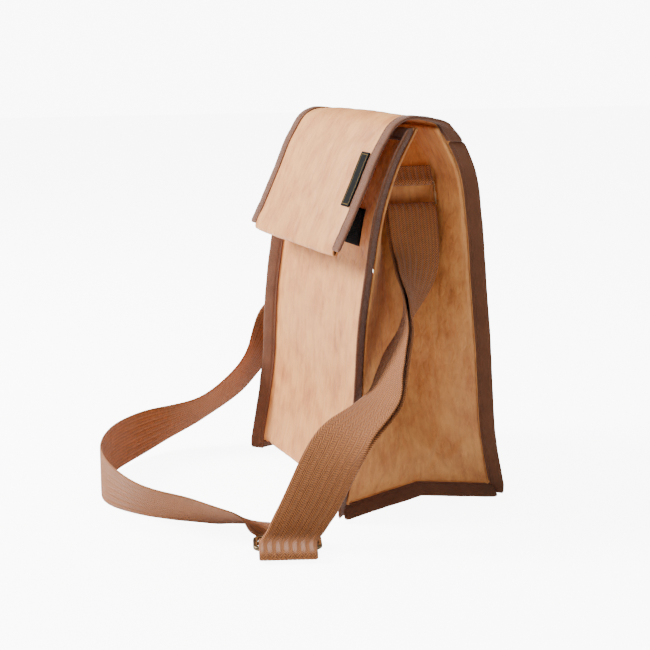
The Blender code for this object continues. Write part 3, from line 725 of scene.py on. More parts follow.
# ------------------------------------------------------------------- the bag's form
@dataclass(frozen=True)
class BagForm:
    """Sizes and outlines of the bag, the same as the frame's."""

    width: float = 170 * MM
    depth: float = 120 * MM
    height: float = 274 * MM
    cloth: float = 1.2 * MM
    seam_gap: float = 0.35 * MM
    tape_width: float = 12 * MM
    tape_thickness: float = 3 * MM
    tape_clearance: float = 0.9 * MM
    tape_overrun: float = 4 * MM
    tape_top_drop: float = 10 * MM
    notch_rise: float = 8.5 * MM
    notch_inset: float = 4 * MM
    ring_y: float = 2.6 * MM
    front: tuple = ((1.0, 0.0), (0.83, 0.23), (0.75, 0.50), (0.66, 0.64), (0.54, 0.79),
                    (0.33, 0.92), (0.13, 1.0))
    back: tuple = ((1.02, 0.0), (0.89, 0.13), (0.77, 0.40), (0.68, 0.58), (0.60, 0.75),
                   (0.46, 0.90), (0.21, 1.0))
    gusset_flat: tuple = ((0, 4, 7), (140, 4, 7), (195, 16, 5), (222, 24, 2), (254, 24, 2),
                          (268, 15, 3), (286, 6, 4))
    gusset_ease: float = 100 * MM
    gusset_folds: "tuple[float, float]" = (0.4, 0.6)
    edge_turn: float = 2.6 * MM

    @property
    def bottom_z(self) -> float:
        """Height of the bottom's front and back edges."""
        return (self.tape_clearance + self.tape_width + self.tape_thickness / 2) * ROOT_HALF

    @property
    def mouth_z(self) -> float:
        """Height of the mouth."""
        return self.bottom_z + self.height

    def outline(self, shares: tuple, z: Array) -> Array:
        """Distance of a side outline from the middle plane at each height."""
        rows = [(self.bottom_z + rise * self.height, out * self.depth / 2)
                for out, rise in shares]
        return smooth_curve(rows, np.atleast_1d(z))[:, 0]

    def front_y(self, z: Array) -> Array:
        """Outer face of the front at each height."""
        return -self.outline(self.front, z)

    def back_y(self, z: Array) -> Array:
        """Outer face of the back at each height."""
        return self.outline(self.back, z)

    def gusset_span(self, z: Array) -> "tuple[Array, Array]":
        """Front and back y of a gusset's outer face at each height."""
        insets = []
        for edge in (self.front_y, self.back_y):
            slope = (edge(z + MM) - edge(z - MM)) / (2 * MM)
            insets.append((2 * self.cloth + 3 * self.seam_gap) * np.hypot(1, slope))
        return self.front_y(z) + insets[0], self.back_y(z) - insets[1]

    def gusset_row(self, z: float, count: int) -> Array:
        """Points (inward, y, share) across a gusset at one height.

        The cloth's fixed width runs in from the front seam, along a flat as wide as the
        table says, and out to the back seam; a moving average rounds its two folds.
        """
        here = np.atleast_1d(z)
        y_front, y_back = (float(edge[0]) for edge in self.gusset_span(here))
        low = np.atleast_1d(self.bottom_z)
        total = float(np.ptp(np.array(self.gusset_span(low))))
        half = (y_back - y_front) / 2
        height, flats, rounds = np.array(self.gusset_flat).T * MM
        flat = min(float(np.interp(z, height, flats)), half - self.seam_gap)
        side = total / 2 - flat
        grown = float(ease(np.array((z - self.bottom_z) / self.gusset_ease)))
        push = grown * math.sqrt(max(side ** 2 - (half - flat) ** 2, 0.0))
        middle = (y_front + y_back) / 2
        middle += (self.ring_y - middle) * flat / max(flats)
        sharp = np.array([(0, y_front), (push, middle - flat), (push, middle + flat),
                          (0, y_back)])
        run = arc_length(sharp)
        samples = np.linspace(0, run[-1], 241)
        reach = max(int(float(np.interp(z, height, rounds)) / (samples[1] - samples[0])), 1)
        soft = softened(interpolated(samples, run, sharp), reach)
        marks = np.interp(np.linspace(0, 1, count), (0, *self.gusset_folds, 1), run)
        return np.column_stack([interpolated(marks, samples, soft), marks / run[-1]])


FORM = BagForm()


@dataclass
class SeamTape:
    """Folded tape over a raw edge: open lips on the cloth, a stitch channel, a round fold."""

    width: float = 12 * MM
    thickness: float = 3 * MM
    stitch_from_lip: float = 2.3 * MM
    stitch_pitch: float = 3.1 * MM
    stitch_end_gap: float = 3 * MM
    pucker: float = 0.22 * MM

    def profile(self, along: Array, seed: int, half: float) -> Array:
        """Closed profile for each row, its half height changed by the pucker's noise.

        Height is the thickness with a slow swell, a quarter-ellipse at the fold, a small
        round at the lip and a dent where the thread pulls.
        """
        edge = np.r_[0, 0.25, 0.7, 1.3, 1.9, 2.3, 2.7, 3.3, 4.5, 6, 7.5, 9, 10, 10.8, 11.3,
                     11.7, 11.92, 12] / 12
        a = edge * self.width
        lip = np.sqrt(np.clip(1 - np.clip((0.5 * MM - a) / (0.5 * MM), 0, 1) ** 2, 0.05, 1))
        fold = np.sqrt(np.clip(1 - np.clip((edge - 0.84) / 0.16, 0, 1) ** 2, 0, 1))
        dent = 0.26 * np.exp(-((a - self.stitch_from_lip) / (0.55 * MM)) ** 2)
        height = half * (0.80 + 0.2 * np.sin(math.pi * edge)) * lip * fold * (1 - dent)
        ripple = value_noise(along[:, None] / (5 * MM), a[None] / (7 * MM) + seed, seed, 2)
        height = height[None] + self.pucker * ripple * np.minimum(fold, lip)[None]
        wander = 0.35 * MM * value_noise(along / (16 * MM), along * 0, seed + 7, 2)
        a = a[None] - self.width / 2 + wander[:, None] * edge[None]
        a = a * np.ones((len(along), 1))
        top = np.stack([a, height], -1)
        low = np.stack([a[:, -2:0:-1], -height[:, -2:0:-1]], -1)
        return np.concatenate([top, low], axis=1)

    def make(self, name: str, track: Track, seed: int, finishes: Finishes,
             taper: "tuple[float, float]" = (2 * MM, 2 * MM)) -> "list[Piece]":
        """The tape and its stitches on both faces.

        Args:
            name: The tape's name; the stitches add to it.
            track: Middle of the tape, its width direction pointing at the fold.
            seed: Which noise.
            finishes: The materials.
            taper: Length over which each end is rounded off.
        Returns:
            The tape, then its stitching.
        """
        along = arc_length(track.places)
        profile = self.profile(along, seed, self.thickness / 2)
        ends = np.minimum(along / max(taper[0], 1e-6), (along[-1] - along) / max(taper[1], 1e-6))
        ends = np.sqrt(np.clip(1 - (1 - np.clip(ends, 0, 1)) ** 2, 0.06, 1))
        profile = profile * np.stack([0.8 + 0.2 * ends, ends], -1)[:, None]
        tape = sweep(name, track, profile).dress(finishes.tape, "brown_tape")
        count = max(int(track.length() / self.stitch_pitch), 3)
        at = np.linspace(self.stitch_end_gap, along[-1] - self.stitch_end_gap, count)
        place, across, normal = (interpolated(at, along, part)
                                 for part in (track.places, track.across, track.normal))
        heading = unit(interpolated(at, along, np.gradient(track.places, axis=0)))
        line = place - across * (self.width / 2 - self.stitch_from_lip)
        lift = self.thickness / 2 * 0.74
        both = np.vstack([line + normal * lift, line - normal * lift])
        slant = unit(heading + 0.55 * across)
        other = unit(heading - 0.55 * across)
        stitches = threads(f"{name}_stitches", both, np.vstack([slant, other]),
                           np.vstack([normal, -normal]), 3.0 * MM, 0.27 * MM)
        stitches.dress(finishes.brown_thread, "brown_tape")
        return [tape, stitches]


@dataclass
class BagBody:
    """The bag itself: one strip for front, bottom and back, two gussets, and their tapes."""

    form: BagForm
    finishes: Finishes
    join_z: float = 274.2 * MM
    columns: int = 121
    corner_reach: float = 9.5 * MM
    fastener_length: float = 120 * MM
    loop_centre: float = 211 * MM
    loop_height: float = 27 * MM
    tape: SeamTape = field(default_factory=SeamTape)

    def strip_line(self) -> Array:
        """(y, z) down the front, along the bottom and up the back, corners rounded."""
        form = self.form
        z_front = np.linspace(form.mouth_z, form.bottom_z, 275)
        z_back = np.linspace(form.bottom_z, self.join_z, 267)
        y_low = np.linspace(float(form.front_y(form.bottom_z)[0]),
                            float(form.back_y(form.bottom_z)[0]), 119)[1:-1]
        peak = 1 - np.abs(np.linspace(-1, 1, 119)[1:-1])
        bottom = np.column_stack([y_low, form.bottom_z + form.notch_rise * peak])
        line = np.vstack([np.column_stack([form.front_y(z_front), z_front]), bottom,
                          np.column_stack([form.back_y(z_back), z_back])])
        reach = 4
        line[reach:-reach] = moving_average(line, reach)
        return spread(line, 330)

    def make_strip(self) -> Piece:
        """Front, bottom and back as one sheet whose side edges turn out into the tapes."""
        form = self.form
        line = self.strip_line()
        along = arc_length(line)
        outward = line_outward(line, 20, (-1, 0))
        half = form.width / 2
        x = np.linspace(-1, 1, self.columns)
        x = np.sign(x) * np.abs(x) ** 0.9 * (half + form.edge_turn)
        over = np.clip(np.abs(x) - (half - 0.6 * MM), 0, None)
        inset = self.bottom_inset(line)
        side = np.sign(x)[None] * (np.minimum(np.abs(x), half - 0.6 * MM)
                                   + over * ROOT_HALF)[None]
        side = side * (1 - inset / half)[:, None]
        inside = np.clip((half - 5 * MM - np.abs(x)) / (30 * MM), 0, 1)[None]
        lift = self.relief(x[None], along[:, None]) * ease(inside * 3) + over[None] * ROOT_HALF
        grid = np.empty((len(line), len(x), 3))
        grid[..., 0] = side
        grid[..., 1:] = line[:, None] + outward[:, None] * lift[..., None]
        uv = np.stack(np.broadcast_arrays(x[None], along[:, None]), -1)
        piece = shell("body_cloth", grid, uv, self.facing(grid) * form.cloth)
        piece.dress(self.finishes.cloth, "kraft_cloth")
        piece.place("bag", "front_panel", "back_panel", "bottom_panel")
        return piece

    def facing(self, grid: Array) -> float:
        """1 when a grid's normals point away from the bag's middle, else -1."""
        row, column = grid.shape[0] // 4, grid.shape[1] // 2
        return side_of(grid, row, column, grid[row, column] - (0, 0, self.form.mouth_z / 2))

    def bottom_inset(self, line: Array) -> Array:
        """How far the notch in each bottom side edge comes in at each row."""
        form = self.form
        low = line[:, 1] < form.bottom_z + form.notch_rise + MM
        middle = (form.front_y(form.bottom_z)[0] + form.back_y(form.bottom_z)[0]) / 2
        half = (form.back_y(form.bottom_z)[0] - form.front_y(form.bottom_z)[0]) / 2
        peak = np.clip(1 - np.abs(line[:, 0] - middle) / half, 0, 1)
        return np.where(low, form.notch_inset * peak, 0.0)

    def relief(self, x: Array, along: Array) -> Array:
        """Wrinkles of the paper cloth: broad waves, upright creases and fine crumple."""
        broad = value_noise(x / (55 * MM), along / (90 * MM), 3, 2) * 0.85 * MM
        upright = crease_noise(x / (11 * MM), along / (42 * MM), 5) * 0.16 * MM
        fine = crease_noise(x / (4.2 * MM), along / (8 * MM), 11) * 0.07 * MM
        return broad + upright + fine

    def make_gusset(self, side: str, mirror: int) -> Piece:
        """One side, folded in, its edges turned out into the tapes.

        Rows of the folded section stand over each other, rise to the notch in the middle of
        the bottom, and are dented by creases that fan out above the notch.
        """
        form = self.form
        count = 81
        z = np.linspace(form.bottom_z - 1.2 * MM, form.mouth_z - 0.5 * MM, 130)
        rows = np.array([form.gusset_row(float(max(h, form.bottom_z)), count) for h in z])
        rise = ((form.mouth_z - z) / form.height)[:, None]
        peak = 1 - np.abs(2 * rows[..., 2] - 1)
        grid = np.stack([form.width / 2 - rows[..., 0] - form.notch_inset * rise ** 3 * peak,
                         rows[..., 1], z[:, None] + form.notch_rise * peak * rise ** 2], -1)
        share, up = rows[..., 2], np.broadcast_to(z[:, None], rows.shape[:2])
        width = float(arc_length(rows[0, :, :2])[-1])
        u, v = (share - 0.5) * width, up
        inner = ease(np.minimum(share, 1 - share) * 9)
        low = ease(1 - (up - form.bottom_z) / (75 * MM))
        tab = 1 - ease((up - 205 * MM) / (15 * MM)) * (1 - ease((up - 262 * MM) / (10 * MM)))
        foot = ease((up - form.bottom_z) / (9 * MM))
        fan = np.arctan2(v - form.bottom_z + 10 * MM, u) * 4
        dents = crease_noise(fan, np.hypot(u, v) / (60 * MM), 21) * 2.6 * MM * low
        dents += crease_noise(u / (17 * MM), v / (23 * MM), 23) * 1.0 * MM * low
        calm = value_noise(u / (30 * MM), v / (55 * MM), 25, 2) * 1.5 * MM * (1 - 0.5 * low)
        fine = crease_noise(u / (6 * MM), v / (11 * MM), 27) * 0.13 * MM
        lift = (np.minimum(dents + calm, 1.2 * MM) * tab * foot + fine * tab) * inner
        grid = grid + grid_normals(grid) * lift[..., None] * self.gusset_sign(grid)
        first = grid[:, :1] + np.array([1, -1, 0]) * ROOT_HALF * form.edge_turn
        last = grid[:, -1:] + np.array([1, 1, 0]) * ROOT_HALF * form.edge_turn
        grid = np.concatenate([first, grid, last], axis=1)
        u = np.concatenate([u[:, :1] - form.edge_turn, u, u[:, -1:] + form.edge_turn], axis=1)
        v = np.concatenate([v[:, :1], v, v[:, -1:]], axis=1)
        sign = self.gusset_sign(grid)
        grid = grid * np.array([mirror, 1, 1])
        piece = shell(f"{side}_gusset_cloth", grid, np.stack([u, v], -1),
                      sign * mirror * form.cloth)
        piece.dress(self.finishes.cloth, "kraft_cloth")
        piece.place("bag", f"{side}_gusset")
        return piece

    def gusset_sign(self, grid: Array) -> float:
        """1 when the right gusset's normals point to +X near its foot, else -1."""
        return side_of(grid, 4, grid.shape[1] // 2, (1, 0, 0))

    def tape_track(self, corner: Array, outward: Array, mirror: int) -> Track:
        """Track of a tape that stands out from a line of corners."""
        outward = np.broadcast_to(outward, corner.shape)
        middle = corner + outward * (self.form.tape_clearance + self.form.tape_width / 2)
        flip = np.array([mirror, 1, 1])
        return Track.along(middle * flip, outward * flip)

    def make_tapes(self, side: str, mirror: int, seed: int) -> None:
        """Front, back and bottom tapes of one gusset."""
        form = self.form
        foot = form.bottom_z + (form.tape_thickness / 2 + form.tape_clearance) * ROOT_HALF
        foot += form.seam_gap - self.corner_reach
        half = form.width / 2
        runs = (("front", form.front_y, form.mouth_z, -1, (2 * MM, 5 * MM)),
                ("back", form.back_y, form.mouth_z - form.tape_top_drop, 1, (2 * MM, 0.1 * MM)))
        for kind, edge, top, way, taper in runs:
            z = np.linspace(foot, top, 150)
            edge_x = np.full_like(z, half)
            corner = np.column_stack([edge_x, edge(np.maximum(z, form.bottom_z)), z])
            track = self.tape_track(corner, np.array([1, way, 0]) * ROOT_HALF, mirror)
            tape, stitches = self.tape.make(f"{side}_{kind}_tape", track, seed + way,
                                            self.finishes, taper)
            tape.place("bag", f"{side}_{kind}_binding")
            stitches.place("bag")
        front = float(form.front_y(form.bottom_z)[0]) - form.tape_overrun
        back = float(form.back_y(form.bottom_z)[0]) + form.tape_overrun
        y = np.linspace(front, back, 120)
        reach = (back - front) / 2 - form.tape_overrun
        peak = np.clip(1 - np.abs(y - (back + front) / 2) / reach, 0, 1)
        corner = np.column_stack([half - form.notch_inset * peak, y,
                                  form.bottom_z + form.notch_rise * peak])
        track = self.tape_track(corner, np.array([1, 0, -1]) * ROOT_HALF, mirror)
        tape, stitches = self.tape.make(f"{side}_bottom_tape", track, seed + 5, self.finishes,
                                        (3 * MM, 3 * MM))
        tape.place("bag", f"{side}_bottom_binding")
        stitches.place("bag")

    def make_mouth(self) -> None:
        """Tape over the front's top edge."""
        form = self.form
        z = form.mouth_z - 5.1 * MM
        x = np.linspace(-form.width / 2 + 2 * MM, form.width / 2 - 2 * MM, 120)
        slope = float((form.front_y(z + MM) - form.front_y(z - MM))[0] / (2 * MM))
        across = np.broadcast_to(unit(np.array([0, slope, 1.0])), (len(x), 3))
        y = float(form.front_y(z)[0]) + form.cloth / 2
        places = np.column_stack([x, np.full_like(x, y), np.full_like(x, z)])
        hem = SeamTape(width=11 * MM, thickness=2.4 * MM)
        tape, stitches = hem.make("front_mouth_tape", Track.along(places, across), 61,
                                  self.finishes)
        tape.place("bag", "front_mouth_hem")
        stitches.place("bag")

    def make_loop_strip(self) -> None:
        """Soft fastener on the front, under the flap."""
        form = self.form
        reach, rise = self.fastener_length / 2, self.loop_height / 2
        z = np.linspace(self.loop_centre - rise, self.loop_centre + rise, 28)
        x = np.linspace(-reach, reach, 121)
        pile = value_noise(x[None] / (1.4 * MM), z[:, None] / (1.4 * MM), 71, 2) * 0.18 * MM
        grid = np.empty((len(z), len(x), 3))
        grid[..., 0], grid[..., 2] = x[None], z[:, None]
        edge = ease(np.minimum(reach - np.abs(x)[None],
                               rise - np.abs(z - self.loop_centre)[:, None]) / (1.5 * MM))
        grid[..., 1] = form.front_y(z)[:, None] - 0.5 * MM - (1.3 * MM + pile) * edge
        uv = np.stack(np.broadcast_arrays(x[None], z[:, None]), -1)
        sign = side_of(grid, 14, 60, (0, -1, 0))
        piece = shell("front_loop_strip", grid, uv, sign * 0.9 * MM)
        piece.dress(self.finishes.fastener, "hook_and_loop").place("bag", "loop_strip")

    def make(self) -> None:
        """Everything that rides on the bag, but the strap."""
        self.make_strip()
        for side, mirror, seed in (("right", 1, 31), ("left", -1, 41)):
            self.make_gusset(side, mirror)
            self.make_tapes(side, mirror, seed)
        self.make_mouth()
        self.make_loop_strip()


@dataclass
class Flap:
    """The fold-over flap: cloth, side tapes, hook strip and label."""

    form: BagForm
    finishes: Finishes
    half_width: float = 78 * MM
    join_z: float = 274.2 * MM
    tape: SeamTape = field(default_factory=lambda: SeamTape(width=11.7 * MM))
    path: tuple = ((11.6, 2.6), (5.0, 5.6), (-4.0, 7.0), (-14.0, 7.0), (-22.0, 3.6),
                   (-33.0, -11.0), (-48.0, -43.0), (-61.0, -71.0), (-68.0, -85.0))
    end_path: tuple = ((-68.4, -87.2), (-67.4, -89.4), (-65.2, -89.0), (-63.8, -86.2),
                       (-60.2, -79.0))
    crown: float = 3.0 * MM
    hook_length: float = 120 * MM
    hook_span: "tuple[float, float]" = (0.79, 0.905)
    label_width: float = 11.5 * MM
    label_span: "tuple[float, float]" = (0.455, 0.76)
    bend_start: "tuple[float, float, float]" = (0, 14.5 * MM, 285 * MM)
    bend_end: "tuple[float, float, float]" = (0, 3.0 * MM, 285 * MM)

    def line(self, hem: bool) -> Array:
        """(y, z) from the back's top edge over the fold, down to the end or round its hem."""
        form = self.form
        z = np.linspace(self.join_z, form.mouth_z - 2.5 * MM, 5)
        start = np.column_stack([form.back_y(z), z])
        rest = np.array(self.path + (self.end_path if hem else ())) * MM
        rest = rest + np.array([0, form.mouth_z])
        points = np.column_stack([np.zeros(len(start) + len(rest)), np.vstack([start, rest])])
        return resample(points, 190)[:, 1:]

    def make_cloth(self) -> None:
        """The flap's sheet; its middle stands up a little, its lower corners hang out."""
        form = self.form
        line = self.line(hem=True)
        along = arc_length(line)
        outward = line_outward(line, 60, (0, 1))
        share = np.linspace(-1, 1, 111)[None]
        wide = ease((along - 2 * MM) / (20 * MM))[:, None]
        half = (form.width / 2 + 1.2 * MM) * (1 - wide) + (self.half_width + 2 * MM) * wide
        x = share * half
        crown = self.crown * (1 - share ** 2) * (ease((along - 12 * MM) / (30 * MM)))[:, None]
        end = along[-1]
        crown = crown * (1 - 0.75 * ease((along - end + 45 * MM) / (30 * MM)))[:, None]
        relief = (value_noise(x / (40 * MM), along[:, None] / (60 * MM), 83, 2) * 0.8 * MM
                  + crease_noise(x / (10 * MM), along[:, None] / (36 * MM), 85) * 0.17 * MM
                  + crease_noise(x / (4 * MM), along[:, None] / (7 * MM), 87) * 0.07 * MM)
        calm = ease((1 - np.abs(share)) * 8) * ease((along - 6 * MM) / (14 * MM))[:, None]
        lift = crown + relief * calm
        grid = np.empty((len(line), share.shape[1], 3))
        grid[..., 0] = x
        grid[..., 1:] = line[:, None] + outward[:, None] * lift[..., None]
        uv = np.stack([x, np.broadcast_to(along[:, None], x.shape)], -1)
        sign = side_of(grid, 60, 55, (0, 0, 1))
        piece = shell("flap_cloth", grid, uv, sign * form.cloth)
        piece.dress(self.finishes.cloth, "kraft_cloth")
        piece.bend("bag", "flap", self.bend_start, self.bend_end, "flap_panel",
                   "flap_turned_end")

    def make_tapes(self) -> None:
        """Side tapes: they carry on from the back tapes and turn level over the fold."""
        form = self.form
        line = self.line(hem=False)
        along = arc_length(line)
        wide = ease((along - 1 * MM) / (26 * MM))[:, None]
        edge = (form.width / 2) * (1 - wide) + (self.half_width + 0.35 * MM) * wide
        outward = unit(np.column_stack([np.ones(len(line)), np.zeros((len(line), 2))]) * wide
                       + np.array([1, 1, 0]) * ROOT_HALF * (1 - wide))
        reach = (form.tape_clearance * (1 - wide) + self.tape.width / 2)
        corner = np.column_stack([edge, line])
        for side, mirror in (("right", 1), ("left", -1)):
            flip = np.array([mirror, 1, 1])
            track = Track.along((corner + outward * reach) * flip, outward * flip)
            tape, stitches = self.tape.make(f"{side}_flap_tape", track, 91 + mirror,
                                            self.finishes, (0.1 * MM, 2.5 * MM))
            tape.bend("bag", "flap", self.bend_start, self.bend_end, f"{side}_flap_binding")
            stitches.bend("bag", "flap", self.bend_start, self.bend_end)

    def strip(self, span: "tuple[float, float]", low: float, high: float, depth: float,
              columns: int, rows: int) -> "tuple[Array, Array]":
        """Grid and map of a strip on the flap, moved outward by depth."""
        line = np.array(self.path) * MM + np.array([0, self.form.mouth_z])
        fine = resample(np.column_stack([np.zeros(len(line)), line]), 200)[:, 1:]
        outward = line_outward(fine, 60, (0, 1))
        at = np.linspace(span[0], span[1], rows)
        share = np.linspace(0, 1, len(fine))
        place = interpolated(at, share, fine + outward * depth)
        x = np.linspace(low, high, columns)
        grid = np.empty((rows, columns, 3))
        grid[..., 0], grid[..., 1:] = x[None], place[:, None]
        along = arc_length(place)
        uv = np.stack(np.broadcast_arrays(x[None] - (low + high) / 2, along[:, None]), -1)
        return grid, uv

    def make_hook_and_label(self) -> None:
        """Hook strip on the inner face, and the woven label beside the right tape."""
        reach = self.hook_length / 2
        grid, uv = self.strip(self.hook_span, -reach, reach, -1.1 * MM, 121, 20)
        sign = side_of(grid, 10, 60, (0, 1, 0))
        rough = value_noise(uv[..., 0] / (1.3 * MM), uv[..., 1] / (1.3 * MM), 95, 2) * 0.15 * MM
        grid = grid + grid_normals(grid) * (sign * rough)[..., None]
        hook = shell("flap_hook_strip", grid, uv, -sign * 1.5 * MM)
        hook.dress(self.finishes.fastener, "hook_and_loop").place("flap", "hook_strip")
        high = self.half_width - 0.8 * MM
        grid, uv = self.strip(self.label_span, high - self.label_width, high, 1.6 * MM, 15, 60)
        bow = (self.crown * (1 - (grid[..., 0] / (self.half_width + 2 * MM)) ** 2))
        grid[..., 1] -= bow * 0.85
        grid[..., 2] += bow * 0.4
        sign = side_of(grid, 30, 7, (0, -1, 0))
        label = shell("woven_flap_label", grid, uv, sign * 0.8 * MM)
        length = float(uv[-1, 0, 1])
        label.dress(LabelCloth().make(length), "black_label").place("flap", "woven_label")

    def make(self) -> None:
        """The whole flap."""
        self.make_cloth()
        self.make_tapes()
        self.make_hook_and_label()


# -------------------------------------------------------------- rings, slider, strap
# The strap's two routes: place in millimetres and the turn of its width about Z, where 0
# lays the width along +Y.  The left one adds how far the width leans up; 90 is upright.
RIGHT_RUN = (
    (71.5, 2.0, 186.0, 12.0), (78.0, -3.5, 171.0, 30.0), (84.0, -9.0, 158.0, 50.0),
    (93.0, -18.0, 140.0, 68.0), (101.0, -27.0, 126.0, 79.0), (108.0, -34.5, 113.0, 86.0),
    (115.0, -43.0, 98.0, 95.0), (120.0, -56.0, 88.0, 108.0), (122.0, -71.0, 78.0, 125.0),
    (122.0, -83.0, 65.0, 142.0), (123.0, -92.0, 51.0, 152.0), (125.0, -100.0, 38.0, 158.0),
    (127.0, -108.0, 26.0, 160.6), (128.0, -114.0, 18.0, 160.6), (128.5, -118.5, 10.0, 160.6))
LEFT_RUN = (
    (-70.0, 2.0, 185.5, 8.0, 0.0), (-84.0, -5.0, 160.0, 20.0, 15.0),
    (-99.0, -17.0, 135.0, 35.0, 45.0), (-109.0, -33.0, 112.0, 50.0, 80.0),
    (-112.0, -50.0, 88.0, 65.0, 108.0), (-108.0, -75.0, 60.0, 70.0, 130.0),
    (-113.0, -106.0, 38.0, 74.0, 135.0), (-116.0, -136.0, 27.0, 70.0, 120.0),
    (-107.0, -164.0, 22.0, 60.0, 100.0), (-85.0, -190.0, 20.3, 50.0, 90.0),
    (-50.0, -209.0, 20.2, 40.0, 90.0), (-13.0, -217.0, 20.4, 35.0, 92.0),
    (14.0, -212.0, 19.6, 40.0, 108.0), (38.0, -200.0, 17.6, 55.0, 124.0),
    (66.0, -171.0, 14.6, 70.0, 136.0), (82.0, -151.0, 12.5, 68.0, 146.0),
    (87.0, -137.5, 9.8, 53.0, 153.0), (91.0, -127.5, 6.5, 32.0, 164.0),
    (97.0, -120.0, 3.4, 5.0, 175.0))


def width_direction(turn: Array, lean: Array) -> Array:
    """Direction of a strap's width from its turn about Z and its lean, in degrees."""
    turn, lean = np.radians(turn), np.radians(lean)
    return np.column_stack([-np.sin(turn) * np.cos(lean), np.cos(turn) * np.cos(lean),
                            np.sin(lean)])


def squared(places: Array, across: Array, square: "Array | float") -> Array:
    """Width directions turned square to the way the strap runs, by the given share."""
    heading = unit(np.gradient(places, axis=0))
    skew = np.sum(across * heading, axis=1) * square
    return unit(across - skew[:, None] * heading)


def rounded_rectangle(length: float, depth: float, corner: float) -> Array:
    """Evenly spread points of a rounded rectangle, length along the first axis."""
    turn = np.radians(np.linspace(0, 90, 11))
    sides = []
    for quarter in range(4):
        sign_a, sign_b = (1, -1, -1, 1)[quarter], (1, 1, -1, -1)[quarter]
        angle = turn + math.radians(90 * quarter)
        sides.append(np.column_stack([
            sign_a * (length / 2 - corner) + corner * np.cos(angle),
            sign_b * (depth / 2 - corner) + corner * np.sin(angle)]))
    loop = np.vstack(sides)
    loop = np.vstack([loop, loop[:1]])
    even = spread(np.column_stack([loop, np.zeros(len(loop))]), 121)
    return even[:-1, :2]


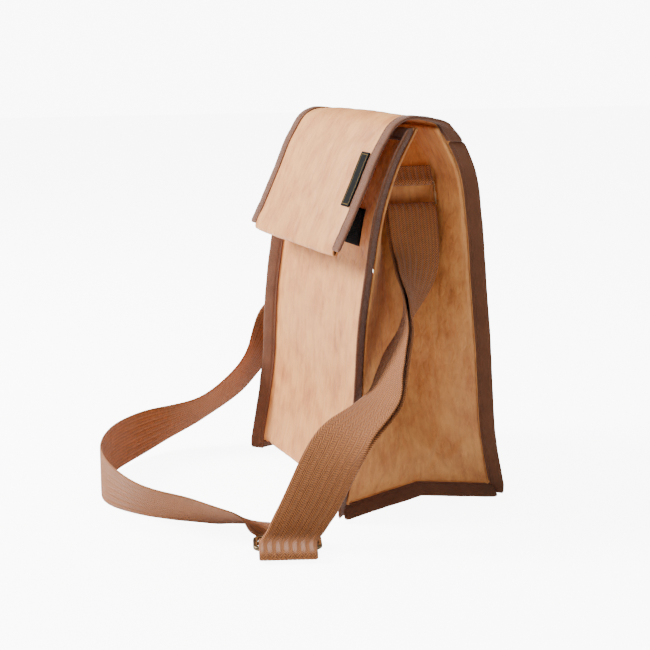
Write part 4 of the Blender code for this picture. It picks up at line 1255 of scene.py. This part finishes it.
@dataclass
class StrapHardware:
    """Rings on folded tabs, and the slider; wire frames with rounded corners."""

    form: BagForm
    finishes: Finishes
    tab_thickness: float = 1.5 * MM
    tab_standoff: float = 0.85 * MM
    tab_top: float = 254 * MM
    tab_seam: float = 249 * MM
    ring_span: float = 46 * MM
    ring_wire: float = 2.6 * MM
    ring_top: float = 243 * MM
    ring_low: float = 224 * MM
    ring_corner: float = 1.6 * MM
    ring_tilt: float = math.radians(15)
    play: float = 0.45 * MM
    webbing_width: float = 40 * MM
    webbing_thickness: float = 1.8 * MM
    webbing_ribs: int = 14
    loop_reach: float = 38 * MM
    slider_span: float = 48 * MM
    slider_depth: float = 24 * MM
    slider_wire: float = 3.4 * MM
    slider_bar: float = 2.6 * MM
    slider_corner: float = 4.5 * MM
    slider_place: "tuple[float, float]" = (124.0 * MM, -121.4 * MM)
    slider_heading: float = math.radians(-19.4)

    @property
    def slider_z(self) -> float:
        """Height of the slider's wires."""
        return self.webbing_thickness + self.form.seam_gap + self.slider_wire / 2

    def gusset_x(self, z: float) -> float:
        """X of the right gusset's outer face at its middle."""
        return self.form.width / 2 - float(self.form.gusset_row(z, 3)[1, 0])

    @property
    def ring_x(self) -> float:
        """X of the right ring's upper bar."""
        return (self.gusset_x(self.ring_top) + self.tab_standoff + self.tab_thickness
                + self.play + self.ring_wire / 2)

    def tilted(self, x: Array, z: Array) -> "tuple[Array, Array]":
        """Turn points outward about the ring's upper bar by the ring's tilt."""
        cosine, sine = math.cos(self.ring_tilt), math.sin(self.ring_tilt)
        x0, z0 = self.ring_x, self.ring_top
        return (x0 + (x - x0) * cosine - (z - z0) * sine,
                z0 + (x - x0) * sine + (z - z0) * cosine)

    def slider_point(self, along: Array, across: Array, z: Array) -> Array:
        """World places from the slider's own directions."""
        cosine, sine = math.cos(self.slider_heading), math.sin(self.slider_heading)
        along, across, z = np.broadcast_arrays(along, across, z)
        return np.stack([self.slider_place[0] + along * cosine - across * sine,
                         self.slider_place[1] + along * sine + across * cosine, z], -1)

    @property
    def slider_across(self) -> Array:
        """Unit direction along the slider's bars."""
        return np.array([-math.sin(self.slider_heading), math.cos(self.slider_heading), 0.0])

    def webbing_profile(self, thickness: float) -> Array:
        """Flat strip with soft selvedges; its faces swell between one groove and the next."""
        ribs = self.webbing_ribs
        a = np.linspace(-1, 1, ribs * 4 + 1)
        edge = np.sqrt(np.clip(1 - np.abs(a) ** 22, 0, 1))
        rib = 0.80 + 0.20 * np.sqrt(np.abs(np.sin(math.pi * ribs * (a + 1) / 2)))
        b = thickness / 2 * edge * rib
        a = a * self.webbing_width / 2
        return np.vstack([np.column_stack([a, b]),
                          np.column_stack([a[-2:0:-1], -b[-2:0:-1]])])

    def make_ring(self, side: str, mirror: int) -> None:
        """One wire ring, bent outward about its upper bar."""
        height = self.ring_top - self.ring_low + self.ring_wire
        loop = rounded_rectangle(self.ring_span - self.ring_wire, height - self.ring_wire,
                                 self.ring_corner)
        middle = (self.ring_top + self.ring_low) / 2
        x, z = self.tilted(np.full(len(loop), self.ring_x), middle + loop[:, 1])
        places = np.column_stack([mirror * x, self.form.ring_y + loop[:, 0], z])
        plane = np.broadcast_to(np.array([mirror * math.cos(self.ring_tilt), 0,
                                          math.sin(self.ring_tilt)]), places.shape)
        normal = unit(np.cross(plane, loop_headings(places)))
        ring = sweep(f"{side}_wire_ring", Track(places, plane, normal),
                     round_profile(self.ring_wire / 2), closed=True)
        ring.dress(self.finishes.ring, "ring_brass").place(f"{side}_ring", f"{side}_ring")

    def make_tab(self, side: str, mirror: int) -> None:
        """Webbing folded round the ring's upper bar and sewn to the gusset."""
        inner = self.tab_standoff + self.tab_thickness / 2
        outer = inner + self.tab_thickness + self.form.seam_gap
        radius = self.ring_wire / 2 + self.play + self.tab_thickness / 2
        heights = np.array([self.tab_top, (self.tab_top + self.tab_seam) / 2, self.tab_seam])
        wall = np.array([self.gusset_x(float(h)) for h in heights])
        turn = np.radians(np.linspace(180, 390, 20))
        x = np.r_[wall + inner, self.ring_x + radius * np.cos(turn), (wall + outer)[::-1]]
        z = np.r_[heights, self.ring_top + radius * np.sin(turn), heights[::-1]]
        rows = spread(np.column_stack([mirror * x, np.full(len(x), self.form.ring_y), z]), 70)
        across = np.broadcast_to(np.array([0.0, 1.0, 0.0]), rows.shape)
        tab = sweep(f"{side}_ring_tab", Track.along(rows, across),
                    self.webbing_profile(self.tab_thickness))
        tab.dress(self.finishes.webbing, "tan_webbing").place("bag", f"{side}_strap_tab")
        y = np.linspace(-18, 18, 15) * MM + self.form.ring_y
        sewn_z = (self.tab_seam + self.tab_top) / 2
        face = float(np.interp(sewn_z, (self.tab_seam, self.tab_top), (wall[2], wall[0])))
        face += outer + self.tab_thickness / 2 * 0.8
        centres = np.column_stack([np.full_like(y, mirror * face), y, np.full_like(y, sewn_z)])
        heading = np.broadcast_to(np.array([0.0, 1.0, 0.0]), centres.shape)
        out = np.broadcast_to(np.array([float(mirror), 0.0, 0.0]), centres.shape)
        sewn = threads(f"{side}_ring_tab_stitches", centres, heading, out, 2.1 * MM, 0.25 * MM)
        sewn.dress(self.finishes.rust_thread, "tan_webbing").place("bag")

    def make_slider(self) -> None:
        """Cast frame and its middle bar, flattened above and below."""
        loop = rounded_rectangle(self.slider_depth - self.slider_wire,
                                 self.slider_span - self.slider_wire, self.slider_corner)
        places = self.slider_point(loop[:, 0], loop[:, 1], np.array(self.slider_z))
        up = np.broadcast_to(np.array([0.0, 0.0, 1.0]), places.shape)
        flat = unit(np.cross(up, loop_headings(places)))
        angle = np.linspace(0, 2 * math.pi, 20, endpoint=False)
        box = np.column_stack([np.sign(np.cos(angle)) * np.abs(np.cos(angle)) ** 0.72,
                               np.sign(np.sin(angle)) * np.abs(np.sin(angle)) ** 0.6])
        frame_wire = sweep("slider_cast_frame", Track(places, flat, up),
                           box * self.slider_wire / 2 * np.array([1.0, 0.92]), closed=True)
        frame_wire.dress(self.finishes.slider, "slider_bronze").place("slider", "slider_frame")
        reach = self.slider_span / 2 - self.slider_wire * 0.7
        y = np.linspace(-reach, reach, 60)
        swell = 1 + 0.25 * ease((np.abs(y) - reach + 3 * MM) / (3 * MM))
        places = self.slider_point(np.zeros_like(y), y, np.array(self.slider_z))
        heading = self.slider_across
        side = np.cross(np.array([0.0, 0.0, 1.0]), heading)
        track = Track(places, np.broadcast_to(side, places.shape),
                      np.broadcast_to(np.array([0.0, 0.0, 1.0]), places.shape))
        bar = sweep("slider_middle_bar", track,
                    round_profile(self.slider_bar / 2)[None] * swell[:, None, None])
        bar.dress(self.finishes.slider, "slider_bronze").place("slider", "slider_bar")

    def make(self) -> None:
        """Rings, tabs and slider."""
        for side, mirror in (("right", 1), ("left", -1)):
            self.make_ring(side, mirror)
            self.make_tab(side, mirror)
        self.make_slider()


@dataclass
class Strap:
    """One length of webbing: slider bar, right ring, slider, then round to the left ring."""

    hardware: StrapHardware
    finishes: Finishes
    layers_apart: float = 4.2 * MM
    layer_gap: float = 1.2 * MM
    crumple_lean: float = 150.0
    tip: float = 27 * MM
    back: float = 6 * MM
    row_step: float = 1.6 * MM

    def loop_end(self, mirror: int) -> Array:
        """Where the strap goes on from the end of a ring's loop."""
        kit = self.hardware
        x, z = kit.tilted(np.array([kit.ring_x]),
                          np.array([kit.ring_top - kit.loop_reach - self.layer_gap]))
        return np.array([mirror * x[0], kit.form.ring_y, z[0]])

    def loop_half(self, mirror: int, leg: int) -> Array:
        """Half of a ring's loop, from the top of the ring's low bar to one leg's end.

        A quarter circle about the bar, then a straight leg; leg is 1 for the outer one.
        """
        kit = self.hardware
        radius = kit.ring_wire / 2 + kit.play + kit.webbing_thickness / 2
        angle = np.radians(np.linspace(90, 90 - 90 * leg, 10))
        low = np.linspace(kit.ring_low, kit.ring_top - kit.loop_reach, 12)[1:]
        x = np.r_[kit.ring_x + radius * np.cos(angle), np.full(11, kit.ring_x + leg * radius)]
        z = np.r_[kit.ring_low + radius * np.sin(angle), low]
        x, z = kit.tilted(x, z)
        return np.column_stack([mirror * x, np.full_like(x, kit.form.ring_y), z])

    def layer(self, side: float) -> "tuple[Array, Array]":
        """Places and width directions of one of the two layers under the right ring."""
        kit = self.hardware
        rows = np.array(RIGHT_RUN)
        rows[:, :3] *= MM
        fine = resample(np.vstack([(*self.loop_end(1), 0.0), rows]), 140)
        places, across = fine[:, :3], width_direction(fine[:, 3], 0 * fine[:, 3])
        heading = unit(np.gradient(places, axis=0))
        face = unit(np.cross(across, heading))
        share = np.linspace(0, 1, len(fine))
        loop_apart = kit.ring_wire + 2 * kit.play + kit.webbing_thickness
        apart = np.interp(share, (0, 0.25, 1),
                          (loop_apart, self.layers_apart, self.layers_apart))
        line = places + side * apart[:, None] * face
        return line, squared(line, across, np.clip((1 - share) / 0.2, 0, 1))

    def floor_turn(self) -> "tuple[Array, Array]":
        """The strap's way over the slider's front bar, round its turn and back below."""
        kit = self.hardware
        half = kit.webbing_thickness / 2
        gap = kit.form.seam_gap
        upper = kit.slider_z + kit.slider_wire / 2 + gap + half
        radius = (upper - half) / 2
        centre = self.tip - radius
        front = kit.slider_depth / 2 + gap
        angle = np.radians(np.linspace(90, -90, 15))
        a = np.r_[front, (front + centre) / 2, centre + radius * np.cos(angle),
                  0, -kit.slider_depth / 2 - self.back / 2, -kit.slider_depth / 2 - self.back]
        z = np.r_[upper, upper, half + radius + radius * np.sin(angle), half, half, half]
        places = kit.slider_point(a, np.zeros_like(a), z)
        return places, np.broadcast_to(-kit.slider_across, places.shape)

    def long_run(self) -> "tuple[Array, Array]":
        """Places and width directions from behind the slider to the left ring's loop."""
        kit = self.hardware
        rows = np.array(LEFT_RUN)
        rows[:, :3] *= MM
        heading = math.degrees(kit.slider_heading)
        back = -kit.slider_depth / 2 - self.back
        half = kit.webbing_thickness / 2
        floor = [(*kit.slider_point(np.array(a), np.array(0.0), np.array(half)), heading, 180.0)
                 for a in (back, back + self.back / 2, 0.0)]
        fine = resample(np.vstack([(*self.loop_end(-1), 0.0, 0.0), rows, floor]), 420)
        square = np.clip((self.crumple_lean - fine[:, 4]) / 10, 0, 1)
        across = squared(fine[:, :3], width_direction(fine[:, 3], fine[:, 4]), square)
        places = fine[:, :3].copy()
        drop = kit.webbing_width / 2 * np.abs(across[:, 2])
        flat = np.hypot(across[:, 0], across[:, 1])
        places[:, 2] += np.maximum(half * flat - (places[:, 2] - drop), 0)
        behind = int(np.argmin(np.linalg.norm(
            places - kit.slider_point(np.array(back), np.array(0.0), np.array(half)), axis=1)))
        return places[:behind], across[:behind]

    def smooth(self, places: Array, across: Array) -> Track:
        """Evenly spread rows, with places and directions softened by a moving average."""
        count = int(arc_length(places)[-1] / self.row_step)
        rows = softened(spread(np.column_stack([places, across]), count), 3)
        return Track.along(rows[:, :3], rows[:, 3:])

    def sewn_track(self) -> Track:
        """From the right ring's low bar down to the slider's bar, the layer sewn to it."""
        kit = self.hardware
        top = self.loop_half(1, 1)
        line, across = self.layer(-0.5)
        end = kit.slider_point(np.array([3.1, 4.4, 4.45]) * MM, np.zeros(3),
                               np.array([8.2, 5.6, 3.3]) * MM)
        places = np.vstack([top, line[1:], end])
        sides = np.vstack([np.broadcast_to([0.0, 1.0, 0.0], top.shape), across[1:],
                           np.broadcast_to(-kit.slider_across, (3, 3))])
        return self.smooth(places, sides)

    def running_track(self) -> Track:
        """From the right ring's low bar, through the slider, round to the left ring."""
        kit = self.hardware
        top = self.loop_half(1, -1)
        line, across = self.layer(0.5)
        over = kit.slider_point(np.array([8.2]) * MM, np.zeros(1), np.array([8.3]) * MM)
        turn, turn_across = self.floor_turn()
        away, away_across = self.long_run()
        places = np.vstack([top, line[1:-1], over, turn, away[::-1]])
        sides = np.vstack([np.broadcast_to([0.0, 1.0, 0.0], top.shape), across[1:-1],
                           -kit.slider_across[None], turn_across, away_across[::-1]])
        end = self.loop_half(-1, 1)[::-1]
        flip = np.sign(sides[-1] @ np.array([0.0, 1.0, 0.0]))
        places = np.vstack([places, end[1:]])
        sides = np.vstack([sides, np.broadcast_to([0.0, flip, 0.0], end[1:].shape)])
        return self.smooth(places, sides)

    def make(self) -> None:
        """Cut each of the two tracks in two, and make each stretch."""
        kit = self.hardware
        profile = kit.webbing_profile(kit.webbing_thickness)
        right_pull, left_pull = (((x, 0, 165 * MM), (x, 0, 219 * MM))
                                 for x in (60 * MM, -60 * MM))
        sewn = self.sewn_track()
        cut = 1 - 30 * MM / sewn.length()
        upper, lower = sewn.part(0, cut), sewn.part(cut, 1)
        upper_piece = self.dressed(sweep("strap_sewn_layer", upper, profile))
        upper_piece.bend("bag", "right_ring", *right_pull, "strap_outer_layer",
                         "right_ring_strap_loop")
        lower_piece = self.dressed(sweep("strap_sewn_layer_foot", lower, profile,
                                         upper.length()))
        lower_piece.bend("bag", "slider", (0, 0, 36 * MM), (0, 0, 14 * MM))
        saddle = self.make_saddle(profile)
        running = self.running_track()
        middle = 0.62
        first, second = running.part(0, middle), running.part(middle, 1)
        near = self.dressed(sweep("strap_running_length", first, profile))
        near.bend("bag", "right_ring", *right_pull, "strap_inner_layer",
                  "strap_long_run")
        far = self.dressed(sweep("strap_left_length", second, profile, first.length()))
        far.bend("bag", "left_ring", *left_pull, "left_ring_strap_loop")
        tail = self.make_left_tail(profile)
        stretches = ((upper_piece, upper, [lower_piece.item, saddle.item]),
                     (near, first, ["slider_cast_frame", "slider_middle_bar"]),
                     (far, second, [tail.item]))
        for piece, track, others in stretches:
            track.length()
            track.places[::3].tolist() + [track.places[-1].tolist()]
        LOG.info("strap: sewn layer %.3f m, running length %.3f m", sewn.length(),
                 running.length())

    def dressed(self, piece: Piece) -> Piece:
        """The piece in webbing."""
        return piece.dress(self.finishes.webbing, "tan_webbing")

    def make_saddle(self, profile: Array) -> Piece:
        """The strap's end, folded over the slider's bar."""
        kit = self.hardware
        angle = np.radians(np.linspace(-20, 200, 26))
        radius = kit.slider_bar / 2 + kit.form.seam_gap + kit.webbing_thickness / 2
        places = kit.slider_point(radius * np.cos(angle), np.zeros_like(angle),
                                  kit.slider_z + radius * np.sin(angle))
        across = np.broadcast_to(kit.slider_across, places.shape)
        saddle = self.dressed(sweep("strap_sewn_end_webbing", Track.along(places, across),
                                    profile))
        return saddle.place("slider", "strap_sewn_end")

    def make_left_tail(self, profile: Array) -> Piece:
        """The inner leg of the left ring's loop, which rides with the ring."""
        leg = self.loop_half(-1, -1)
        across = np.broadcast_to([0.0, 1.0, 0.0], leg.shape)
        rows = spread(np.column_stack([leg, across]), 24)
        tail = self.dressed(sweep("left_ring_strap_tail", Track.along(rows[:, :3], rows[:, 3:]),
                                  profile))
        return tail.place("left_ring")


# ------------------------------------------------------------------------- the scene
@dataclass
class Studio:
    """Pale floor, soft lights and the camera."""

    camera_place: "tuple[float, float, float]" = (0.8876, -0.4197, 0.3359)
    yaw: float = 23.16
    pitch: float = 12.22
    lens: float = 69.5

    def area(self, name: str, place: Sequence[float], target: Sequence[float], size: float,
             power: float, colour: "tuple[float, float, float]" = (1, 1, 1)) -> None:
        """A square soft light that faces a target."""
        lamp = bpy.data.lights.new(name, "AREA")
        lamp.shape, lamp.size, lamp.energy, lamp.color = "SQUARE", size, power, colour
        item = bpy.data.objects.new(name, lamp)
        item.location = place
        item.rotation_euler = (Vector(target) - Vector(place)).to_track_quat("-Z", "Y").to_euler()
        bpy.context.scene.collection.objects.link(item)

    def brighter_when_seen(self, tree: bpy.types.NodeTree, gain: float, rest: float,
                           socket: bpy.types.NodeSocket) -> None:
        """Give a strength that is higher where the camera sees it than in the light it casts.

        Args:
            tree: The nodes that the socket belongs to.
            gain: How much is added where the camera sees it.
            rest: The strength of the light it casts.
            socket: The strength's socket.
        """
        seen = tree.nodes.new("ShaderNodeLightPath")
        strength = tree.nodes.new("ShaderNodeMath")
        strength.operation = "MULTIPLY_ADD"
        strength.inputs[1].default_value = gain
        strength.inputs[2].default_value = rest
        tree.links.new(seen.outputs["Is Camera Ray"], strength.inputs[0])
        tree.links.new(strength.outputs[0], socket)

    def make_floor(self) -> None:
        """A wide matt floor, seen as nearly the same white as the surroundings."""
        reach, level = 6.0, -0.6 * MM
        corners = ((-reach, -reach), (reach, -reach), (reach, reach), (-reach, reach))
        mesh = bpy.data.meshes.new("floor")
        mesh.from_pydata([(x, y, level) for x, y in corners], [], [(0, 1, 2, 3)])
        floor = bpy.data.objects.new("floor", mesh)
        bpy.context.scene.collection.objects.link(floor)
        material = bpy.data.materials.new("floor_white")
        material.use_nodes = True
        surface = material.node_tree.nodes["Principled BSDF"]
        surface.inputs["Base Color"].default_value = (1.0, 1.0, 1.0, 1)
        surface.inputs["Roughness"].default_value = 0.9
        surface.inputs["Specular IOR Level"].default_value = 0.1
        surface.inputs["Emission Color"].default_value = (1, 1, 1, 1)
        self.brighter_when_seen(material.node_tree, 8.0, 0.2,
                                surface.inputs["Emission Strength"])
        mesh.materials.append(material)

    def make_lights(self) -> None:
        """Key from the front left, a weaker light above, and pale surroundings."""
        world = bpy.data.worlds.new("pale_room")
        bpy.context.scene.world = world
        world.use_nodes = True
        back = world.node_tree.nodes["Background"]
        back.inputs[0].default_value = (1, 1, 1, 1)
        self.brighter_when_seen(world.node_tree, 9.0, 0.24, back.inputs[1])
        self.area("key", (-0.75, -1.45, 1.15), (0, 0, 0.14), 0.7, 80)
        self.area("top", (-0.1, -0.1, 1.7), (0, 0, 0.1), 0.8, 12)

    def make_camera(self) -> None:
        """Camera from its place, yaw and pitch."""
        data = bpy.data.cameras.new("camera")
        data.sensor_width, data.lens = 36.0, self.lens
        data.clip_start = 0.01
        camera = bpy.data.objects.new("camera", data)
        yaw, pitch = math.radians(self.yaw), math.radians(self.pitch)
        forward = Vector((-math.cos(yaw) * math.cos(pitch), math.sin(yaw) * math.cos(pitch),
                          -math.sin(pitch)))
        camera.location = self.camera_place
        camera.rotation_euler = forward.to_track_quat("-Z", "Y").to_euler()
        bpy.context.scene.collection.objects.link(camera)
        bpy.context.scene.camera = camera

    def make(self) -> None:
        """Floor, lights and camera."""
        self.make_floor()
        self.make_lights()
        self.make_camera()


def main() -> None:
    """Build the bag around its frame, piece by piece."""
    logging.basicConfig(level=logging.INFO, format="%(name)s: %(message)s")
    finishes = Finishes()
    Studio().make()
    hardware = StrapHardware(FORM, finishes)
    hardware.make()
    Strap(hardware, finishes).make()
    BagBody(FORM, finishes).make()
    Flap(FORM, finishes).make()


if __name__ == "__main__":
    main()
